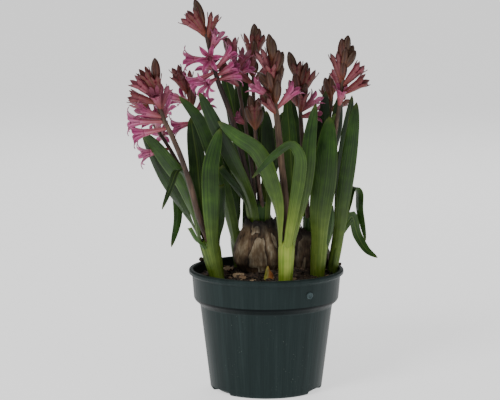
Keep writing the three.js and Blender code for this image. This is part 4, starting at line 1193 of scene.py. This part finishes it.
def lobe_shape(length, flare, lobe, tone, bloom):
    """One lobe: a thin channelled tongue along a bend from the throat through the middle to the tip.

    bend = start (1 - t)^2 + 2 control t (1 - t) + tip t^2, with the control point set so that the
    middle point lies on it; the width swells a little, then closes to a point.
    """
    draw = np.random.default_rng(int(tone * 9999) * 7 + lobe)
    start = np.array([mix(*THROAT_RADIUS, flare) - 0.4, mix(0.72, 0.56, flare) * length])
    middle = np.array([mix(4.4, 6.6, flare), mix(0.88, 0.8, flare) * length])
    tip = np.array([mix(4.6, 11.5, flare), mix(1.04, 0.8, flare) * length])
    tip = tip + draw.uniform(-0.8, 0.8, 2) * mix(0.4, 1.0, flare)
    share = np.linspace(0, 1, 13)[:, None]
    control = 2 * middle - 0.5 * (start + tip)
    bend = start * (1 - share) ** 2 + 2 * control * share * (1 - share) + tip * share ** 2
    slope = unit(2 * (control - start) * (1 - share) + 2 * (tip - control) * share)
    inward = np.stack([-slope[:, 1], slope[:, 0]], axis=1)
    closing = (1 - np.clip((share - 0.35) / 0.65, 0, 1) ** 1.6) ** 0.85
    half = np.maximum(0.2, mix(1.5, 2.2, smoothstep(share, 0, 0.4)) * closing)
    ring = circle(12)
    side, thick = np.cos(ring), 0.28 * np.sin(ring)
    groove = 0.12 * np.exp(-(side / 0.2) ** 2)
    lift = 0.4 * side ** 2 * half / 2.3 + thick * (1 - 0.4 * np.abs(side)) - groove
    lift = lift + 0.22 * np.sin(share * 7 + lobe + 9 * tone) * side * share
    radius = bend[:, :1] + inward[:, :1] * lift
    height = bend[:, 1:] + inward[:, 1:] * lift
    sideways = half * side + draw.uniform(-0.7, 0.7) * share ** 2
    angle = 2 * np.pi * lobe / LOBES + draw.uniform(-0.06, 0.06)
    grid = capped(np.stack([radius * np.cos(angle) - sideways * np.sin(angle),
                            radius * np.sin(angle) + sideways * np.cos(angle), height], axis=-1))
    reach = mix(start[1] / length, 1, ended(share))
    return grid, even_values(grid, bloom=bloom, reach=reach, rib=np.abs(side), inside=(thick > 0) * 1.0,
                             tone=tone)


def turned_to(axis):
    """The least turn that brings straight up to the axis: one plus K plus K squared / (1 + cosine)."""
    x, y, z = axis
    turn = np.array([[0, 0, x], [0, 0, y], [-x, -y, 0]])
    return np.eye(3) + turn + turn @ turn / (1 + z)


def spike_shapes(name, radius, tint, points, florets, seed):
    """The stem's grid and those of all the florets, each with its point values."""
    path = [list(point) for point in points]
    path[0][2] = SHOOTS[name.split("_")[1]]["floor"] + CLEARANCE
    stem = stem_grid(radius, *smooth_path(path, (0, -1, 0), STEM_ROWS))
    at, heading = smooth_path(path, (0, -1, 0), STATIONS)[:2]
    reach = np.linspace(0, 1, len(stem))[:, None]
    shapes = [(stem, even_values(stem, bloom=0.0, reach=reach, rib=0.0, inside=0.0, tone=tint))]
    for place, (along, turn, lean, length, bloom) in enumerate(florets):
        station = along * (STATIONS - 1)
        low = min(STATIONS - 2, int(station))
        side = level(turn) - (level(turn) @ heading[low]) * heading[low]
        lean = np.radians(lean)
        axis = heading[low] * np.cos(lean) + side / np.linalg.norm(side) * np.sin(lean)
        root = mix(at[low], at[low + 1], station - low) - ROOT_SINK * axis
        tone = draw_between(seed * 100 + place, 0, 1)
        if bloom > BUD_BLOOM:
            flare = smoothstep(bloom, BUD_BLOOM, 1)
            made = [tube_shape(length, flare, tone, bloom)]
            made += [lobe_shape(length, flare, lobe, tone, bloom) for lobe in range(LOBES)]
        else:
            made = [bud_shape(length, tone, bloom)]
        shapes += [(grid @ turned_to(axis).T + root, values) for grid, values in made]
    return shapes


def stem_material():
    """Fleshy stem, dark purple-brown to warm grey-brown, with lengthwise streaks and blotches."""
    material, tree, shader = new_material("flower_stem", Roughness=0.5, Specular_IOR_Level=0.3)
    streak = noise(tree, stretched(tree, (620.0, 620.0, 60.0)), 1.0, 4.0)
    patch = noise(tree, object_place(tree), 55.0, 3.0)
    both = weighed(tree, (streak, 0.55), (patch, 0.45))
    dark = ramp(tree, both, [(0.35, rgb(30, 22, 20)), (0.5, rgb(52, 38, 34)), (0.68, rgb(84, 62, 54))])
    warm = ramp(tree, both, [(0.35, rgb(72, 54, 42)), (0.5, rgb(110, 86, 66)), (0.68, rgb(150, 122, 94))])
    painted(tree, shader, blend(tree, attribute(tree, "tone"), dark, warm))
    bumped(tree, shader, both, 0.5, 0.0005)
    return material


def floret_material():
    """Waxy floret: olive and dark red bud, rose half open, lilac pink open, darker ribs and tips."""
    material, tree, shader = new_material("floret_wax", Roughness=0.42, Specular_IOR_Level=0.3)
    bloom = attribute(tree, "bloom")
    reach = attribute(tree, "reach")
    rib = attribute(tree, "rib")
    mottle = noise(tree, object_place(tree), 260.0, 4.0)
    lot = maths(tree, "ADD", attribute(tree, "tone"), swing(tree, mottle, 0.5))
    bud = ramp(tree, lot, [(0.0, rgb(76, 54, 38)), (0.5, rgb(98, 62, 46)), (1.0, rgb(108, 54, 50))])
    bud = tinted(tree, bud, rgb(54, 46, 32), past(tree, reach, 0.3, 1.7), 0.65)
    half_open = ramp(tree, lot, [(0.0, rgb(98, 62, 48)), (0.5, rgb(122, 68, 66)), (1.0, rgb(150, 84, 96))])
    full = ramp(tree, lot, [(0.0, rgb(152, 38, 94)), (0.5, rgb(180, 62, 124)), (1.0, rgb(206, 112, 158))])
    tube = times(tree, maths(tree, "SUBTRACT", 0.72, reach), 4.0, clamp=True)
    full = tinted(tree, full, rgb(172, 96, 100), tube, 0.75)
    opened = past(tree, bloom, 0.22, 7.0)
    fully = past(tree, bloom, 0.45, 4.0)
    petal = blend(tree, fully, blend(tree, opened, bud, half_open), full)
    seam_colour = blend(tree, opened, rgb(54, 28, 26), rgb(112, 22, 50))
    seam = times(tree, past(tree, rib, 0.35, 1.8), maths(tree, "SUBTRACT", 1.0, fully))
    seamed = tinted(tree, petal, seam_colour, seam, 0.7)
    ridge = times(tree, fading(tree, rib, 2.6), fully)
    ribbed = tinted(tree, seamed, rgb(122, 18, 70), ridge, 0.6)
    edged = tinted(tree, ribbed, rgb(216, 148, 182), times(tree, rib, fully), 0.3)
    rooted = tinted(tree, edged, rgb(124, 66, 36), fading(tree, reach, 1.9), 0.75)
    tipped = tinted(tree, rooted, rgb(56, 32, 32), past(tree, reach, 0.84, 6.0), 0.5)
    # Painted shade inside the floret: the inner faces darken towards its root.
    within = maths(tree, "SUBTRACT", 1.0, reach)
    deep = times(tree, attribute(tree, "inside"), within, clamp=True)
    painted(tree, shader, blend(tree, deep, tipped, rgb(80, 16, 46)))
    bumped(tree, shader, maths(tree, "ADD", mottle, times(tree, rib, 0.3)), 0.4, 0.0004)
    return material


stem_skin = stem_material()
floret_wax = floret_material()
for number, spike in enumerate(SPIKES):
    shapes = spike_shapes(*spike, seed=number + 1)
    shades = [0] + [1] * (len(shapes) - 1)
    add_shapes(spike[0] + "_bloom", [spike[0]], [stem_skin, floret_wax], shapes, shades)
